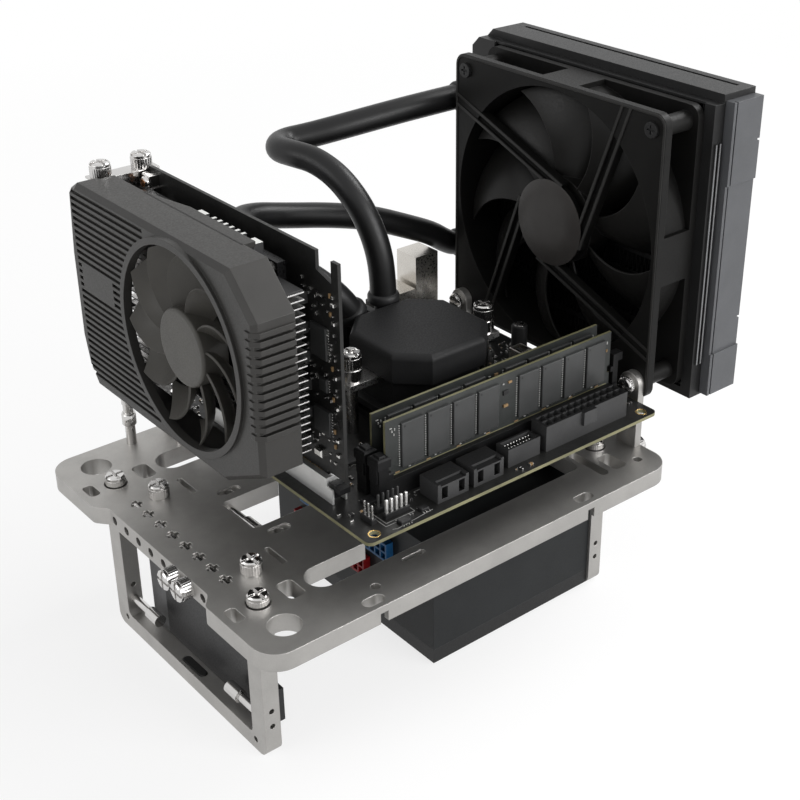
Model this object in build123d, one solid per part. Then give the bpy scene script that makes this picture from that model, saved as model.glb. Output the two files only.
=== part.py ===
from build123d import *
from math import cos, radians, sin, tan
import os

# Open air test bench with a small computer on it. Millimetres, +Z up, the floor at Z = 0.
# +X runs from the graphics card to the radiator, -Y is the front rail's side.

# Bench plate and legs
plate_width = 230.0
plate_depth = 188.0
plate_thickness = 8.5
plate_corner = 12.0
recess_length = 84.0
recess_depth = 5.0
recess_slope = 6.0
leg_height = 69.5
leg_thickness = 8.0
leg_length = 128.0
leg_offset = 97.0
leg_post = 10.0
leg_bar = 8.0
leg_corner = 5.0
end_hole_radius = 1.3
end_hole_heights = (15.8, 23.8)
fit_gap = 0.1
plate_top = leg_height + plate_thickness
plate_right = plate_width / 2
recess_x = recess_depth - plate_width / 2

# Openings in the plate
window_left = -38.0
window_right = 78.0
window_half_depth = 69.0
side_slot_width = 15.5
side_slot_left = -74.0
bay_left = -69.0
bay_half_depth = 13.5
round_hole_radius = 7.25
round_hole_y = 78.5
pocket_hole_size = (8.0, 12.6)
pocket_hole_place = (-81.7, 60.4)
edge_hole_size = (5.3, 10.0)
edge_hole_place = (-109.0, 60.5)
rail_slot_size = (10.5, 5.6)
rail_slot_place = (60.3, 88.6)
narrow_slot_size = (2.8, 15.0)
narrow_slot_place = (-73.0, 36.4)
corner_slot_size = (8.0, 13.5)
corner_slot_place = (93.1, -74.7)
side_groove_size = (5.0, 24.0)
side_groove_place = (83.0, -69.3)
lever_slot_size = (12.0, 2.6)
lever_slot_place = (-27.7, -74.3)
tap_recess_size = (11.5, 5.0)
tap_recess_place = (-60.4, 20.4)
store_pitch = 10.7
store_count = 8
store_slot_size = (5.5, 2.2)
store_nut_size = (2.4, 6.6)
store_slot_x = -98.5
store_slot_depth = 3.0

# Screws and pins
screw_radius = 2.0
tap_radius = 2.1
leg_screw_inset = 4.5
thumb_head = (4.6, 6.8)
counterbore_radius = 5.4
counterbore_depth = 2.0
pin_radius = 2.5
pin_length = 24.0
bay_pin_x = bay_left + 4.0

# Slim drive hung on edge under the plate
drive_length = 100.0
drive_height = 69.85
drive_thickness = 7.0
drive_front = -53.5
drive_left = -91.0
drive_floor_gap = 4.15
drive_hole_inset = 14.0
drive_hole_pitch = 76.6
drive_notch = (42.0, 5.0, 4.0)

# Board
board_size = 170.0
board_thickness = 1.6
board_lift = 24.4
board_shift = (25.0, -1.3)
board_corner = 3.0
board_hole_radius = 2.0
board_left = board_shift[0] - board_size / 2
board_rear = board_shift[1] + board_size / 2
board_top = plate_top + board_lift + board_thickness
board_holes = {"H": (6.35, 10.16), "J": (6.35, 165.1), "F": (163.83, 165.1), "C": (163.83, 33.02)}
standoff_radius = 3.0
rest_posts = [(40.0, 8.0), (152.0, 126.0)]

# Memory
slot_near = 146.0
slot_pitch = 9.2
slot_width = 6.4
slot_height = 9.0
module_length = 133.35
module_left = 160.35 - module_length
slot_left = module_left - 5.5
slot_length = module_length + 8.65
module_height = 31.25
module_seat = 4.75
module_thickness = 1.3
chip_size = (11.8, 1.1, 21.0)
chip_pitch = 14.2
chip_rows = (8.0, 74.5)
chip_up = 7.25
latch_thickness = 4.4
latch_height = 24.0

# Graphics card
card_face = 9.0
card_thickness = 1.6
card_length = 142.5
card_rear = 0.0
card_low = 12.5
card_high = 111.5
card_slot_span = (44.0, 133.0)
card_slot_width = 7.6
card_slot_height = 11.0
shroud_face = -30.0
shroud_depth = 19.0
nose_back = -18.5
nose_reach = -6.5
shroud_wall = 2.5
shroud_high = 113.0
shroud_low = 14.0
shroud_end = 142.0
card_fan_place = (85.5, 65.0)
card_fan_radius = 44.0
card_ring_width = 3.0
louvre_pitch = 3.15
louvre_count = 29
rib_pitch = 3.7
rib_count = 12
rib_top = 90.0
fin_count = 23
fin_pitch = 3.2
fin_thickness = 0.5
fin_left = -12.0
fin_right = -1.0
sink_base = 4.0
post_gap = 20.32
post_first = -13.0
post_front = -4.0
flange_up = 110.5
bracket_sheet = 1.0

# Pump
pump_place = (89.0, 93.0)
pump_size = 52.0
pump_chamfer = 13.0
pump_low = 9.0
pump_high = 41.5
cap_size = pump_size + 5.0
cap_low = 27.3
arm_up = (24.0, 27.0)
arm_half = 6.0
post_spread = 39.5

# Radiator and its fan
fan_size = 140.0
fan_depth = 25.0
fan_pitch = fan_size - 15.5
fan_duct_radius = fan_size / 2 - 3.5
fan_hub_radius = 21.0
fan_flange = 4.0
fan_web = 24.0
strut_turn = 20.0
strut_offset = 20.0
fan_place = (88.5, 69.0)
fan_edge_gap = 0.3
fan_face = plate_right - fan_edge_gap
fan_y = board_rear - fan_place[0]
fan_z = board_top + fan_place[1]
bracket_thickness = 4.0
bracket_width = 12.0
radiator_depth = 27.0
radiator_height = fan_size + 10.0
radiator_rear = fan_place[0] - fan_size / 2 - 16.5
radiator_front = fan_place[0] + fan_size / 2 + 5.5
radiator_ledge = (6.0, 4.0)
cover_depth = 5.0
cover_width = 20.0
core_length = fan_size - 1.0

# Hoses
hose_radius = 6.4
fitting_radius = 4.6

# Power supply
supply_length = 100.0
supply_width = 125.0
supply_height = 63.5
supply_floor_gap = 1.5
supply_seam = 7.5
supply_wall = 1.2
supply_fan_radius = 40.0
supply_fan_depth = 15.0
supply_right = leg_offset - leg_thickness / 2
supply_left = supply_right - supply_length
supply_top = supply_floor_gap + supply_height
supply_middle = supply_left + 48.0

running_gap = 0.06
bore_depth = 8.0
shaft_reach = bore_depth - 0.3
LOW = (Align.CENTER, Align.CENTER, Align.MIN)


def span(x, y, z):
    """A box between two corners, each axis given as (low, high)."""
    size = [high - low for low, high in (x, y, z)]
    middle = [(high + low) / 2 for low, high in (x, y, z)]
    return Pos(*middle) * Box(*size)


def spot(right, front, up=0.0):
    """A point measured from the board's rear left corner and its top face."""
    return Vector(board_left + right, board_rear - front, board_top + up)


def board_span(right, front, up):
    """A box measured from the board's rear left corner and its top face."""
    low = spot(right[0], front[1], up[0])
    high = spot(right[1], front[0], up[1])
    return span((low.X, high.X), (low.Y, high.Y), (low.Z, high.Z))


def rod(start, end, radius):
    """A round bar from one point to another."""
    start, end = Vector(*start), Vector(*end)
    axis = end - start
    return Plane(origin=start, z_dir=axis) * Cylinder(radius, axis.length, align=LOW)


def slab(sketch, low, high):
    """A flat sketch made solid between two heights."""
    return Pos(0, 0, low) * extrude(sketch, amount=high - low, dir=(0, 0, 1))


def thumbscrew(head, shank_length, shank_radius=screw_radius):
    """Cross-slotted thumbscrew: its seat is at z = 0 and its shank points down."""
    radius, height = head
    body = Cylinder(radius, height, align=LOW)
    body = chamfer(body.edges().group_by(Axis.Z)[-1], 0.6)
    for turn in (0, 90):
        body -= Pos(0, 0, height) * Rot(0, 0, turn) * Box(2 * radius, 1.4, 2.0)
    return body + Pos(0, 0, -shank_length) * Cylinder(shank_radius, shank_length, align=LOW)


def aim(point, direction):
    """A location whose +Z points along direction."""
    return Plane(origin=point, z_dir=direction).location


def fan_blade(root, tip, chord, pitch, sweep_angle, thickness, middle):
    """One twisted, cambered blade about +Z, lofted from its root to its tip."""
    sections = []
    for share in (0.0, 0.25, 0.5, 0.75, 1.0):
        radius = root + (tip - root) * share
        turn = radians(sweep_angle * share * share)
        tilt = radians(pitch[0] + (pitch[1] - pitch[0]) * share)
        width = chord[0] + (chord[1] - chord[0]) * share
        outward = Vector(cos(turn), sin(turn), 0)
        along = Vector(-sin(turn) * cos(tilt), cos(turn) * cos(tilt), sin(tilt))
        plane = Plane(origin=outward * radius + Vector(0, 0, middle), x_dir=along, z_dir=outward)
        half, edge, camber = width / 2, thickness * 0.3, width * 0.09
        upper = ThreePointArc((-half, edge), (0, camber + thickness / 2), (half, edge))
        lower = ThreePointArc((half, -edge), (0, camber - thickness / 2), (-half, -edge))
        ends = [Line((half, edge), (half, -edge)), Line((-half, -edge), (-half, edge))]
        sections.append(plane * make_face([upper, ends[0], lower, ends[1]]))
    return loft(sections)


def fan_rotor(hub_radius, hub_height, tip_radius, blades, chord, pitch, sweep_angle, bore):
    """Hub cup and blades about +Z from z = 0, bored for its shaft."""
    hub = Cylinder(hub_radius, hub_height, align=LOW)
    hub = fillet(hub.edges().group_by(Axis.Z)[0], 1.5)
    blade = fan_blade(hub_radius - 2.5, tip_radius + 3.0, chord, pitch, sweep_angle, 1.6, hub_height / 2)
    blade &= Cylinder(tip_radius, 4 * hub_height)
    for number in range(blades):
        hub += Rot(0, 0, 360 / blades * number) * blade
    return hub - Pos(0, 0, hub_height - bore_depth) * Cylinder(bore, bore_depth, align=LOW)


def mirrored(place):
    """The same place on both sides of the plate's middle."""
    return [(place[0], place[1]), (place[0], -place[1])]


leg_screw_places = [
    (side * leg_offset, end * (leg_length / 2 - leg_screw_inset)) for side in (-1, 1) for end in (-1, 1)
]
drive_screw_x = drive_left + drive_thickness - 3.0
drive_screw_places = [
    (drive_screw_x, drive_front + drive_hole_inset),
    (drive_screw_x, drive_front + drive_hole_inset + drive_hole_pitch),
]
store_places = [(number - (store_count - 1) / 2) * store_pitch for number in range(store_count)]
store_screw_places = [store_places[1], store_places[2]]
store_z = leg_height + plate_thickness / 2
bracket_places = [fan_y - fan_pitch / 2, fan_y + fan_pitch / 2]
bracket_inner = fan_face - bracket_thickness
drive_top = drive_floor_gap + drive_height
post_places = [(board_left + post_first + post_gap * number, board_rear - post_front) for number in (0, 1)]


# Bench
def base_plate():
    half_w, half_d = plate_width / 2, plate_depth / 2
    half_r = recess_length / 2
    corners = [
        (-half_w, -half_d), (half_w, -half_d), (half_w, half_d), (-half_w, half_d),
        (-half_w, half_r + recess_slope), (recess_x, half_r), (recess_x, -half_r),
        (-half_w, -half_r - recess_slope),
    ]
    step = recess_slope * 0.75
    radii = [plate_corner] * 4 + [step] * 4
    cuts = Pos((window_left + window_right) / 2, 0) * RectangleRounded(
        window_right - window_left, 2 * window_half_depth, 4.0)
    slot_middle = window_half_depth - side_slot_width / 2
    for side in (-1, 1):
        cuts += Pos(window_left, side * slot_middle) * SlotOverall(
            2 * (window_left - side_slot_left), side_slot_width)
    cuts += Pos((bay_left + window_left) / 2 + 4, 0) * RectangleRounded(
        window_left - bay_left + 8, 2 * bay_half_depth, 2.5)
    for size, place, radius in (
        (pocket_hole_size, pocket_hole_place, 2.4), (edge_hole_size, edge_hole_place, 2.0),
        (narrow_slot_size, narrow_slot_place, 1.3),
    ):
        for x, y in mirrored(place):
            cuts += Pos(x, y) * RectangleRounded(*size, radius)
    rail_x, rail_y = rail_slot_place
    for x, y in ((-rail_x, -rail_y), (rail_x, -rail_y), (rail_x, rail_y)):
        cuts += Pos(x, y) * SlotOverall(*rail_slot_size)
    cuts += Pos(*corner_slot_place) * RectangleRounded(*corner_slot_size, 2.4)
    cuts += Pos(*side_groove_place) * RectangleRounded(*side_groove_size, 2.4)
    cuts += Pos(*lever_slot_place) * RectangleRounded(*lever_slot_size, 1.2)
    for x, y in mirrored((-leg_offset, round_hole_y)):
        cuts += Pos(x, y) * Circle(round_hole_radius)
    for x, y in leg_screw_places + drive_screw_places + post_places:
        cuts += Pos(x, y) * Circle(tap_radius)
    for right, front in board_holes.values():
        cuts += Pos(spot(right, front).X, spot(right, front).Y) * Circle(tap_radius)
    for x, y in mirrored(tap_recess_place):
        cuts += Pos(x, y) * Circle(tap_radius)
    outline = make_face(FilletPolyline(*corners, radius=radii, close=True))
    plate = slab(outline - cuts, leg_height, plate_top)
    for x, y in leg_screw_places:
        plate -= Pos(x, y, plate_top - counterbore_depth) * Cylinder(
            counterbore_radius, counterbore_depth, align=LOW)
    for x, y in mirrored(tap_recess_place):
        plate -= slab(Pos(x, y) * SlotOverall(*tap_recess_size), plate_top - 1.0, plate_top)
    for y in store_places:
        for size in (store_slot_size, store_nut_size):
            plate -= Pos(store_slot_x, y, plate_top - store_slot_depth / 2) * Box(*size, store_slot_depth)
        plate -= rod((recess_x, y, store_z), (store_slot_x, y, store_z), screw_radius + fit_gap)
    for y in bracket_places:
        notch = bracket_width / 2 + fit_gap
        plate -= span((bracket_inner - fit_gap, plate_right), (y - notch, y + notch), (leg_height, plate_top))
        plate -= rod((bracket_inner - 8, y, store_z), (bracket_inner, y, store_z), tap_radius)
    plate -= span(
        (drive_left - fit_gap, drive_left + drive_thickness + fit_gap),
        (drive_front - fit_gap, drive_front + drive_length + fit_gap), (leg_height, drive_top))
    plate -= rod((bay_pin_x, bay_half_depth, store_z), (bay_pin_x, bay_half_depth + 5, store_z), end_hole_radius)
    for x in (-rail_slot_place[0] + 1.5, rail_slot_place[0]):
        plate -= span((x - 2, x + 2), (-half_d, -half_d + 4), (leg_height, leg_height + 5))
    return plate


def leg(side):
    x = side * leg_offset
    window = Pos(0, leg_height / 2) * RectangleRounded(leg_length - 2 * leg_post, leg_height - 2 * leg_bar, 3.0)
    profile = Pos(0, leg_height / 2) * Rectangle(leg_length, leg_height)
    profile = fillet(profile.vertices().group_by(Axis.Y)[0], leg_corner) - window
    for end in (-1, 1):
        profile -= Pos(end * (leg_length / 2 - leg_post + 2), leg_bar * 0.7) * Circle(1.5)
    body = Plane(origin=(x - leg_thickness / 2, 0, 0), x_dir=(0, 1, 0), z_dir=(1, 0, 0)) * slab(
        profile, 0, leg_thickness)
    body -= slab(Pos(x, 0) * SlotOverall(18.0, 4.4, rotation=90), 0, leg_bar)
    for end in (-1, 1):
        edge = end * leg_length / 2
        body -= rod((x, edge - end * leg_screw_inset, leg_height), (x, edge - end * leg_screw_inset,
                    leg_height - 10), tap_radius)
        for height in end_hole_heights:
            body -= rod((x, edge, height), (x, edge - end * leg_post, height), end_hole_radius)
    return body


def leg_thumbscrews():
    screw = thumbscrew(thumb_head, plate_thickness - counterbore_depth + 8)
    return [Pos(x, y, plate_top - counterbore_depth) * screw for x, y in leg_screw_places]


def drive_thumbscrews():
    screw = thumbscrew(thumb_head, plate_top - drive_top + 4)
    return [Pos(x, y, plate_top) * screw for x, y in drive_screw_places]


def edge_thumbscrews():
    screw = thumbscrew(thumb_head, 7.0)
    return [aim((recess_x, y, store_z), (-1, 0, 0)) * screw for y in store_screw_places]


def stored_pin(x, root, z, way):
    """A spare pin lying along Y, screwed into the wall at its root."""
    end = root + way * pin_length
    pin = rod((x, root, z), (x, end, z), pin_radius - 0.6)
    pin += rod((x, root + way * pin_length * 0.62, z), (x, end, z), pin_radius + 0.5)
    return pin + rod((x, root - way * 4, z), (x, root, z), end_hole_radius - fit_gap)


def stored_pins():
    inner = leg_length / 2 - leg_post
    pins = [stored_pin(-leg_offset, -way * inner, end_hole_heights[0], way) for way in (-1, 1)]
    return pins + [stored_pin(bay_pin_x, bay_half_depth, store_z, -1)]


def storage_drive():
    x = (drive_left, drive_left + drive_thickness)
    y = (drive_front, drive_front + drive_length)
    body = span(x, y, (drive_floor_gap, drive_top))
    body = chamfer(body.edges().filter_by(Axis.X), 1.5)
    length, reach, depth = drive_notch
    body -= span((x[1] - depth, x[1]), (y[0], y[0] + reach), (drive_top - 9 - length, drive_top - 9))
    for place in drive_screw_places:
        body -= rod((*place, drive_top), (*place, drive_top - 5), tap_radius)
    return body


def card_posts():
    return [
        rod((x, y, plate_top), (x, y, plate_top + 22), pin_radius)
        + rod((x, y, plate_top + 22), (x, y, board_top + flange_up - bracket_sheet), pin_radius + 0.4)
        + rod((x, y, plate_top - 6), (x, y, plate_top), screw_radius)
        - rod((x, y, board_top + flange_up - 12), (x, y, board_top + flange_up), tap_radius)
        for x, y in post_places
    ]


def card_thumbscrews():
    screw = thumbscrew(thumb_head, 8.0)
    return [Pos(x, y, board_top + flange_up) * screw for x, y in post_places]


def radiator_bracket(y):
    top = fan_z - fan_pitch / 2
    profile = Pos(0, (leg_height + top) / 2) * Rectangle(bracket_width, top - leg_height)
    profile += Pos(0, top) * Circle(bracket_width / 2)
    profile -= Pos(0, top) * Circle(tap_radius)
    profile -= Pos(0, store_z) * Circle(tap_radius)
    return Plane(origin=(bracket_inner, y, 0), x_dir=(0, 1, 0), z_dir=(1, 0, 0)) * slab(
        profile, 0, bracket_thickness)


def bracket_thumbscrews():
    fan_screw = thumbscrew((4.2, 4.0), bracket_thickness + 10)
    edge_screw = thumbscrew(thumb_head, bracket_thickness + 6)
    top = fan_z - fan_pitch / 2
    upper = [aim((bracket_inner, y, top), (-1, 0, 0)) * fan_screw for y in bracket_places]
    return upper + [aim((fan_face, y, store_z), (1, 0, 0)) * edge_screw for y in bracket_places]


# Board
def motherboard():
    sheet = RectangleRounded(board_size, board_size, board_corner)
    for right, front in board_holes.values():
        sheet -= Pos(right - board_size / 2, board_size / 2 - front) * Circle(board_hole_radius)
    return Pos(*board_shift) * slab(sheet, board_top - board_thickness, board_top)


def board_standoffs():
    low, high = plate_top, board_top - board_thickness
    posts = []
    for name in ("H", "C"):
        x, y = spot(*board_holes[name]).X, spot(*board_holes[name]).Y
        post = rod((x, y, low), (x, y, high), standoff_radius) - rod((x, y, high - 8), (x, y, high), 1.6)
        posts.append(post + rod((x, y, low - 6), (x, y, low), screw_radius))
    for right, front in rest_posts:
        x, y = spot(right, front).X, spot(right, front).Y
        posts.append(rod((x, y, low), (x, y, high), standoff_radius))
    return posts


def board_screws():
    screws = []
    for name in ("H", "C"):
        top = spot(*board_holes[name])
        head = Pos(*top) * Cylinder(2.9, 2.0, align=LOW)
        screws.append(head + Pos(*top) * Pos(0, 0, -7) * Cylinder(1.5, 7.0, align=LOW))
    return screws


def io_ports():
    blocks = [
        ((151.0, 166.0), (-2.0, 14.0), (0.0, 32.5)), ((132.0, 149.0), (-2.0, 16.0), (0.0, 16.0)),
        ((112.0, 130.0), (-2.0, 12.0), (0.0, 7.0)), ((92.0, 110.0), (-2.0, 14.0), (0.0, 8.0)),
        ((74.0, 90.0), (-2.0, 16.0), (0.0, 14.0)), ((34.0, 58.0), (-2.0, 12.0), (0.0, 13.0)),
    ]
    ports = []
    for right, front, up in blocks:
        block = board_span(right, front, up)
        block -= board_span((right[0] + 1.2, right[1] - 1.2), (front[0], front[0] + 6), (up[0] + 1.2, up[1] - 1.2))
        ports.append(block)
    return ports


def regulator_heatsink():
    body = board_span((58.0, 112.0), (27.0, 40.0), (0.0, 26.0))
    for number in range(7):
        low = 61.0 + 7.2 * number
        body -= board_span((low, low + 3.6), (27.0, 40.0), (9.0, 26.0))
    return body


def memory_slots():
    slots = []
    for number in (0, 1):
        front = slot_near - slot_pitch * number
        across = (front - slot_width / 2, front + slot_width / 2)
        body = board_span((slot_left, slot_left + slot_length), across, (0, slot_height))
        tower = (slot_left, module_left - 0.3)
        body += board_span(tower, across, (slot_height, slot_height + 11))
        groove = module_thickness / 2 + fit_gap
        body -= board_span((module_left - 0.3, module_left + module_length + 0.3), (front - groove, front + groove),
                           (module_seat, slot_height))
        body -= board_span((latch_right - 0.9, slot_left + slot_length), (front - latch_thickness / 2 - 0.3,
                           front + latch_thickness / 2 + 0.3), (2.0, slot_height))
        body += rod(spot(latch_pivot, across[0], latch_up), spot(latch_pivot, across[1], latch_up), 0.9)
        slots.append(body)
    return slots


latch_right = module_left + module_length + 1.0
latch_pivot = slot_left + slot_length - 1.6
latch_up = 5.6


def memory_latch(front):
    across = (front - latch_thickness / 2, front + latch_thickness / 2)
    body = board_span((latch_right, latch_right + 3.2), across, (3.4, latch_height))
    body += board_span((latch_right + 3.2, latch_right + 6.0), across, (latch_height - 4, latch_height))
    body += board_span((latch_right - 1.6, latch_right), across, (latch_height - 8.5, latch_height - 6.0))
    return body - rod(spot(latch_pivot, across[0], latch_up), spot(latch_pivot, across[1], latch_up),
                      0.9 + running_gap)


def memory_module(front):
    across = (front - module_thickness / 2, front + module_thickness / 2)
    top = module_seat + module_height
    body = board_span((module_left, module_left + module_length), across, (module_seat, top))
    body -= board_span((module_left + module_length - 1.4, module_left + module_length), across,
                       (latch_height - 9.0, latch_height - 5.5))
    body -= board_span((module_left + 73.0, module_left + 75.4), across, (module_seat, module_seat + 4))
    wide, thick, tall = chip_size
    for start in chip_rows:
        for number in range(4):
            left = module_left + start + chip_pitch * number
            low = module_seat + chip_up
            body += board_span((left, left + wide), (across[1], across[1] + thick), (low, low + tall))
    return body


card_middle = card_face + card_thickness / 2
card_latch_pivot = card_slot_span[1] + 2.2
card_latch_up = 4.0
card_latch_half = 2.6


def card_slot():
    half = card_slot_width / 2
    body = board_span((card_middle - half, card_middle + half), card_slot_span, (0, card_slot_height))
    groove = card_thickness / 2 + fit_gap
    body -= board_span((card_middle - groove, card_middle + groove),
                       (card_slot_span[0] + 2, card_slot_span[1] - 2), (3.5, card_slot_height))
    for low, high in ((-half, -card_latch_half - 0.3), (card_latch_half + 0.3, half)):
        body += board_span((card_middle + low, card_middle + high),
                           (card_slot_span[1], card_latch_pivot + 2), (0, 7.0))
    return body + rod(spot(card_middle - half, card_latch_pivot, card_latch_up),
                      spot(card_middle + half, card_latch_pivot, card_latch_up), 0.8)


def card_slot_latch():
    across = (card_middle - card_latch_half, card_middle + card_latch_half)
    inner = card_slot_span[1] + 0.7
    body = board_span(across, (inner, card_latch_pivot + 2), (2.8, 9.0))
    body += board_span(across, (card_latch_pivot + 2, card_latch_pivot + 6), (6.0, 8.6))
    return body - rod(spot(across[0], card_latch_pivot, card_latch_up),
                      spot(across[1], card_latch_pivot, card_latch_up), 0.8 + running_gap)


def power_connector():
    body = board_span((104.0, 155.6), (153.5, 163.3), (0, 12.8))
    for number in range(12):
        for row in (0, 1):
            low = 105.6 + 4.2 * number
            front = 154.4 + 4.2 * row
            body -= board_span((low, low + 3.4), (front, front + 3.4), (5.0, 12.8))
    return body + board_span((126.0, 134.0), (163.3, 165.0), (6.0, 12.8))


def drive_connectors():
    parts = []
    for left in (40.0, 60.0):
        body = board_span((left, left + 17.0), (153.0, 165.0), (0, 9.0))
        body -= board_span((left + 1.5, left + 15.5), (161.5, 165.0), (8.0, 9.0))
        for slot in (2.2, 11.6):
            body -= board_span((left + slot, left + slot + 3.2), (159.0, 165.0), (1.6, 7.2))
        parts.append(body)
    return parts


def usb_header():
    body = board_span((82.0, 101.0), (154.5, 162.5), (0, 9.0))
    return body - board_span((83.2, 99.8), (155.7, 161.3), (2.0, 9.0))


def pin_headers():
    rows = []
    for left, front, count in ((16.0, 152.5, 5), (16.0, 158.0, 4)):
        body = board_span((left, left + 2.54 * count), (front, front + 2.5), (0, 2.5))
        for number in range(count):
            pin = left + 1.27 + 2.54 * number
            body += board_span((pin - 0.32, pin + 0.32), (front + 0.93, front + 1.57), (2.5, 8.5))
        rows.append(body)
    return rows


def processor_socket():
    x, y = pump_place
    return board_span((x - 27, x + 27), (y - 25, y + 25), (0, 3.4)) - board_span(
        (x - 19, x + 19), (y - 19, y + 19), (1.0, 3.4))


def processor():
    x, y = pump_place
    return board_span((x - 18.75, x + 18.75), (y - 18.75, y + 18.75), (1.0, 5.0)) + board_span(
        (x - 15, x + 15), (y - 15, y + 15), (5.0, 7.0))


# Cooler
def octagon(size, cut):
    half = size / 2
    inner = half - cut
    return Polygon((half, inner), (inner, half), (-inner, half), (-half, inner), (-half, -inner),
                   (-inner, -half), (inner, -half), (half, -inner), align=None)


def pump_body():
    middle = spot(*pump_place)
    plate = Pos(middle.X, middle.Y, board_top + 7.0) * Box(46, 46, 2.0, align=LOW)
    flange = Pos(middle.X, middle.Y) * slab(octagon(pump_size + 9, pump_chamfer), board_top + pump_low,
                                            board_top + pump_low + 3)
    block = Pos(middle.X, middle.Y) * slab(octagon(pump_size, pump_chamfer), board_top + pump_low,
                                           board_top + cap_low)
    return plate + flange + block


def pump_cap():
    middle = spot(*pump_place)
    cap = Pos(middle.X, middle.Y) * slab(octagon(cap_size, pump_chamfer), board_top + cap_low,
                                         board_top + pump_high)
    return fillet(cap.edges().group_by(Axis.Z)[-1], 3.0)


def pump_bracket():
    x, y = pump_place
    arms = []
    for side in (-1, 1):
        reach = sorted((x + side * pump_size / 2, x + side * (post_spread + 5)))
        arm = board_span(reach, (y - arm_half, y + arm_half), arm_up)
        foot = spot(x + side * post_spread, y)
        arms.append(arm - rod((foot.X, foot.Y, board_top + arm_up[0]), (foot.X, foot.Y, board_top + arm_up[1]), 2.2))
    return arms


def pump_posts():
    posts = []
    for side in (-1, 1):
        foot = spot(pump_place[0] + side * post_spread, pump_place[1])
        collar = arm_up[1] + 6.0
        screw = rod((foot.X, foot.Y, board_top), (foot.X, foot.Y, board_top + collar), screw_radius)
        screw += rod((foot.X, foot.Y, board_top), (foot.X, foot.Y, board_top + arm_up[0]), 2.8)
        screw += rod((foot.X, foot.Y, board_top + arm_up[1]), (foot.X, foot.Y, board_top + collar), 5.2)
        posts.append(screw + Pos(foot.X, foot.Y, board_top + collar) * thumbscrew((4.8, 8.0), 1.0))
    return posts


elbow_front = 57.5
elbow_up = 28.5
elbow_reach = 11.0
upper_elbow = (95.8, elbow_front, elbow_up)
lower_elbow = (83.4, elbow_front, elbow_up)
lower_tilt = (-0.54, 0.0, 0.84)
barb_front = radiator_rear + 6.0
upper_barb = fan_place[1] + 43.0
lower_barb = fan_place[1] - 38.5
barb_right = fan_face - board_left + 13.3
upper_route = [
    (95.8, elbow_front, elbow_up + elbow_reach), (95.8, elbow_front, 55.0), (94.4, 53.8, 71.5),
    (91.8, 46.3, 86.0), (88.4, 35.0, 97.4), (84.6, 21.5, 103.2), (80.2, 10.5, 104.3), (79.8, -4.0, 103.2),
    (89.4, -13.2, 102.6), (102.0, -9.0, 103.8), (119.3, -2.5, 106.8), (147.0, 4.5, 110.4),
    (171.0, barb_front, upper_barb), (barb_right, barb_front, upper_barb),
]
lower_route = [
    tuple(lower_elbow[n] + elbow_reach * lower_tilt[n] for n in range(3)),
    tuple(lower_elbow[n] + (elbow_reach + 9.5) * lower_tilt[n] for n in range(3)),
    (64.5, 53.8, 55.2), (56.9, 45.8, 62.4), (49.8, 35.0, 70.8), (44.0, 23.0, 75.9), (46.4, 8.5, 77.4),
    (59.5, 1.5, 75.6), (78.5, 1.5, 70.7), (104.7, 3.0, 65.0), (128.8, 6.0, 58.3), (150.0, barb_front, 48.8),
    (166.0, barb_front, 41.2), (175.5, barb_front, 34.3), (182.5, barb_front, lower_barb),
    (barb_right, barb_front, lower_barb),
]


def hose(route, name):
    """A tube along straight runs joined by arcs as large as the runs allow."""
    points = [spot(*point) for point in route]
    radii = []
    for before, corner, after in zip(points, points[1:], points[2:]):
        into, away = corner - before, after - corner
        radii.append(0.45 * min(into.length, away.length) / tan(radians(into.get_angle(away) / 2)))
    path = FilletPolyline(*points, radius=radii)
    first = Plane(origin=points[0], z_dir=points[1] - points[0])
    tube = sweep(first * Circle(hose_radius), path=path)
    section = first * Circle(hose_radius)
    print(name, "radii", [round(radius, 1) for radius in radii], "length", round(path.length, 1),
          "volume ratio", round(tube.volume / (section.area * path.length), 4))
    return tube


def hose_fittings():
    parts = []
    for elbow, route in ((upper_elbow, upper_route), (lower_elbow, lower_route)):
        corner, outlet = spot(*elbow), spot(*route[0])
        wall = spot(elbow[0], pump_place[1] - cap_size / 2, elbow[2])
        parts.append(rod(wall, corner, fitting_radius) + rod(corner, outlet, fitting_radius)
                     + Pos(*corner) * Sphere(fitting_radius))
        end = spot(*route[-1])
        parts.append(rod(end, (fan_face + fan_depth, end.Y, end.Z), fitting_radius))
    return parts


radiator_low = fan_z - radiator_height / 2
radiator_high = fan_z + radiator_height / 2
radiator_face = fan_face + fan_depth
radiator_back = radiator_face + radiator_depth
core_y = (fan_y - core_length / 2, fan_y + core_length / 2)


def radiator_core():
    core = span((radiator_face + 1.5, radiator_back - 1.5), core_y, (radiator_low + 4, radiator_high - 4))
    tubes = 12
    pitch = (radiator_height - 8) / tubes
    for number in range(tubes):
        middle = radiator_low + 4 + pitch * (number + 0.5)
        fins = (middle - pitch / 2 + 1.2, middle + pitch / 2 - 1.2)
        for x in ((radiator_face + 1.5, radiator_face + 4.5), (radiator_back - 4.5, radiator_back - 1.5)):
            core -= span(x, core_y, fins)
    return core


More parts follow.
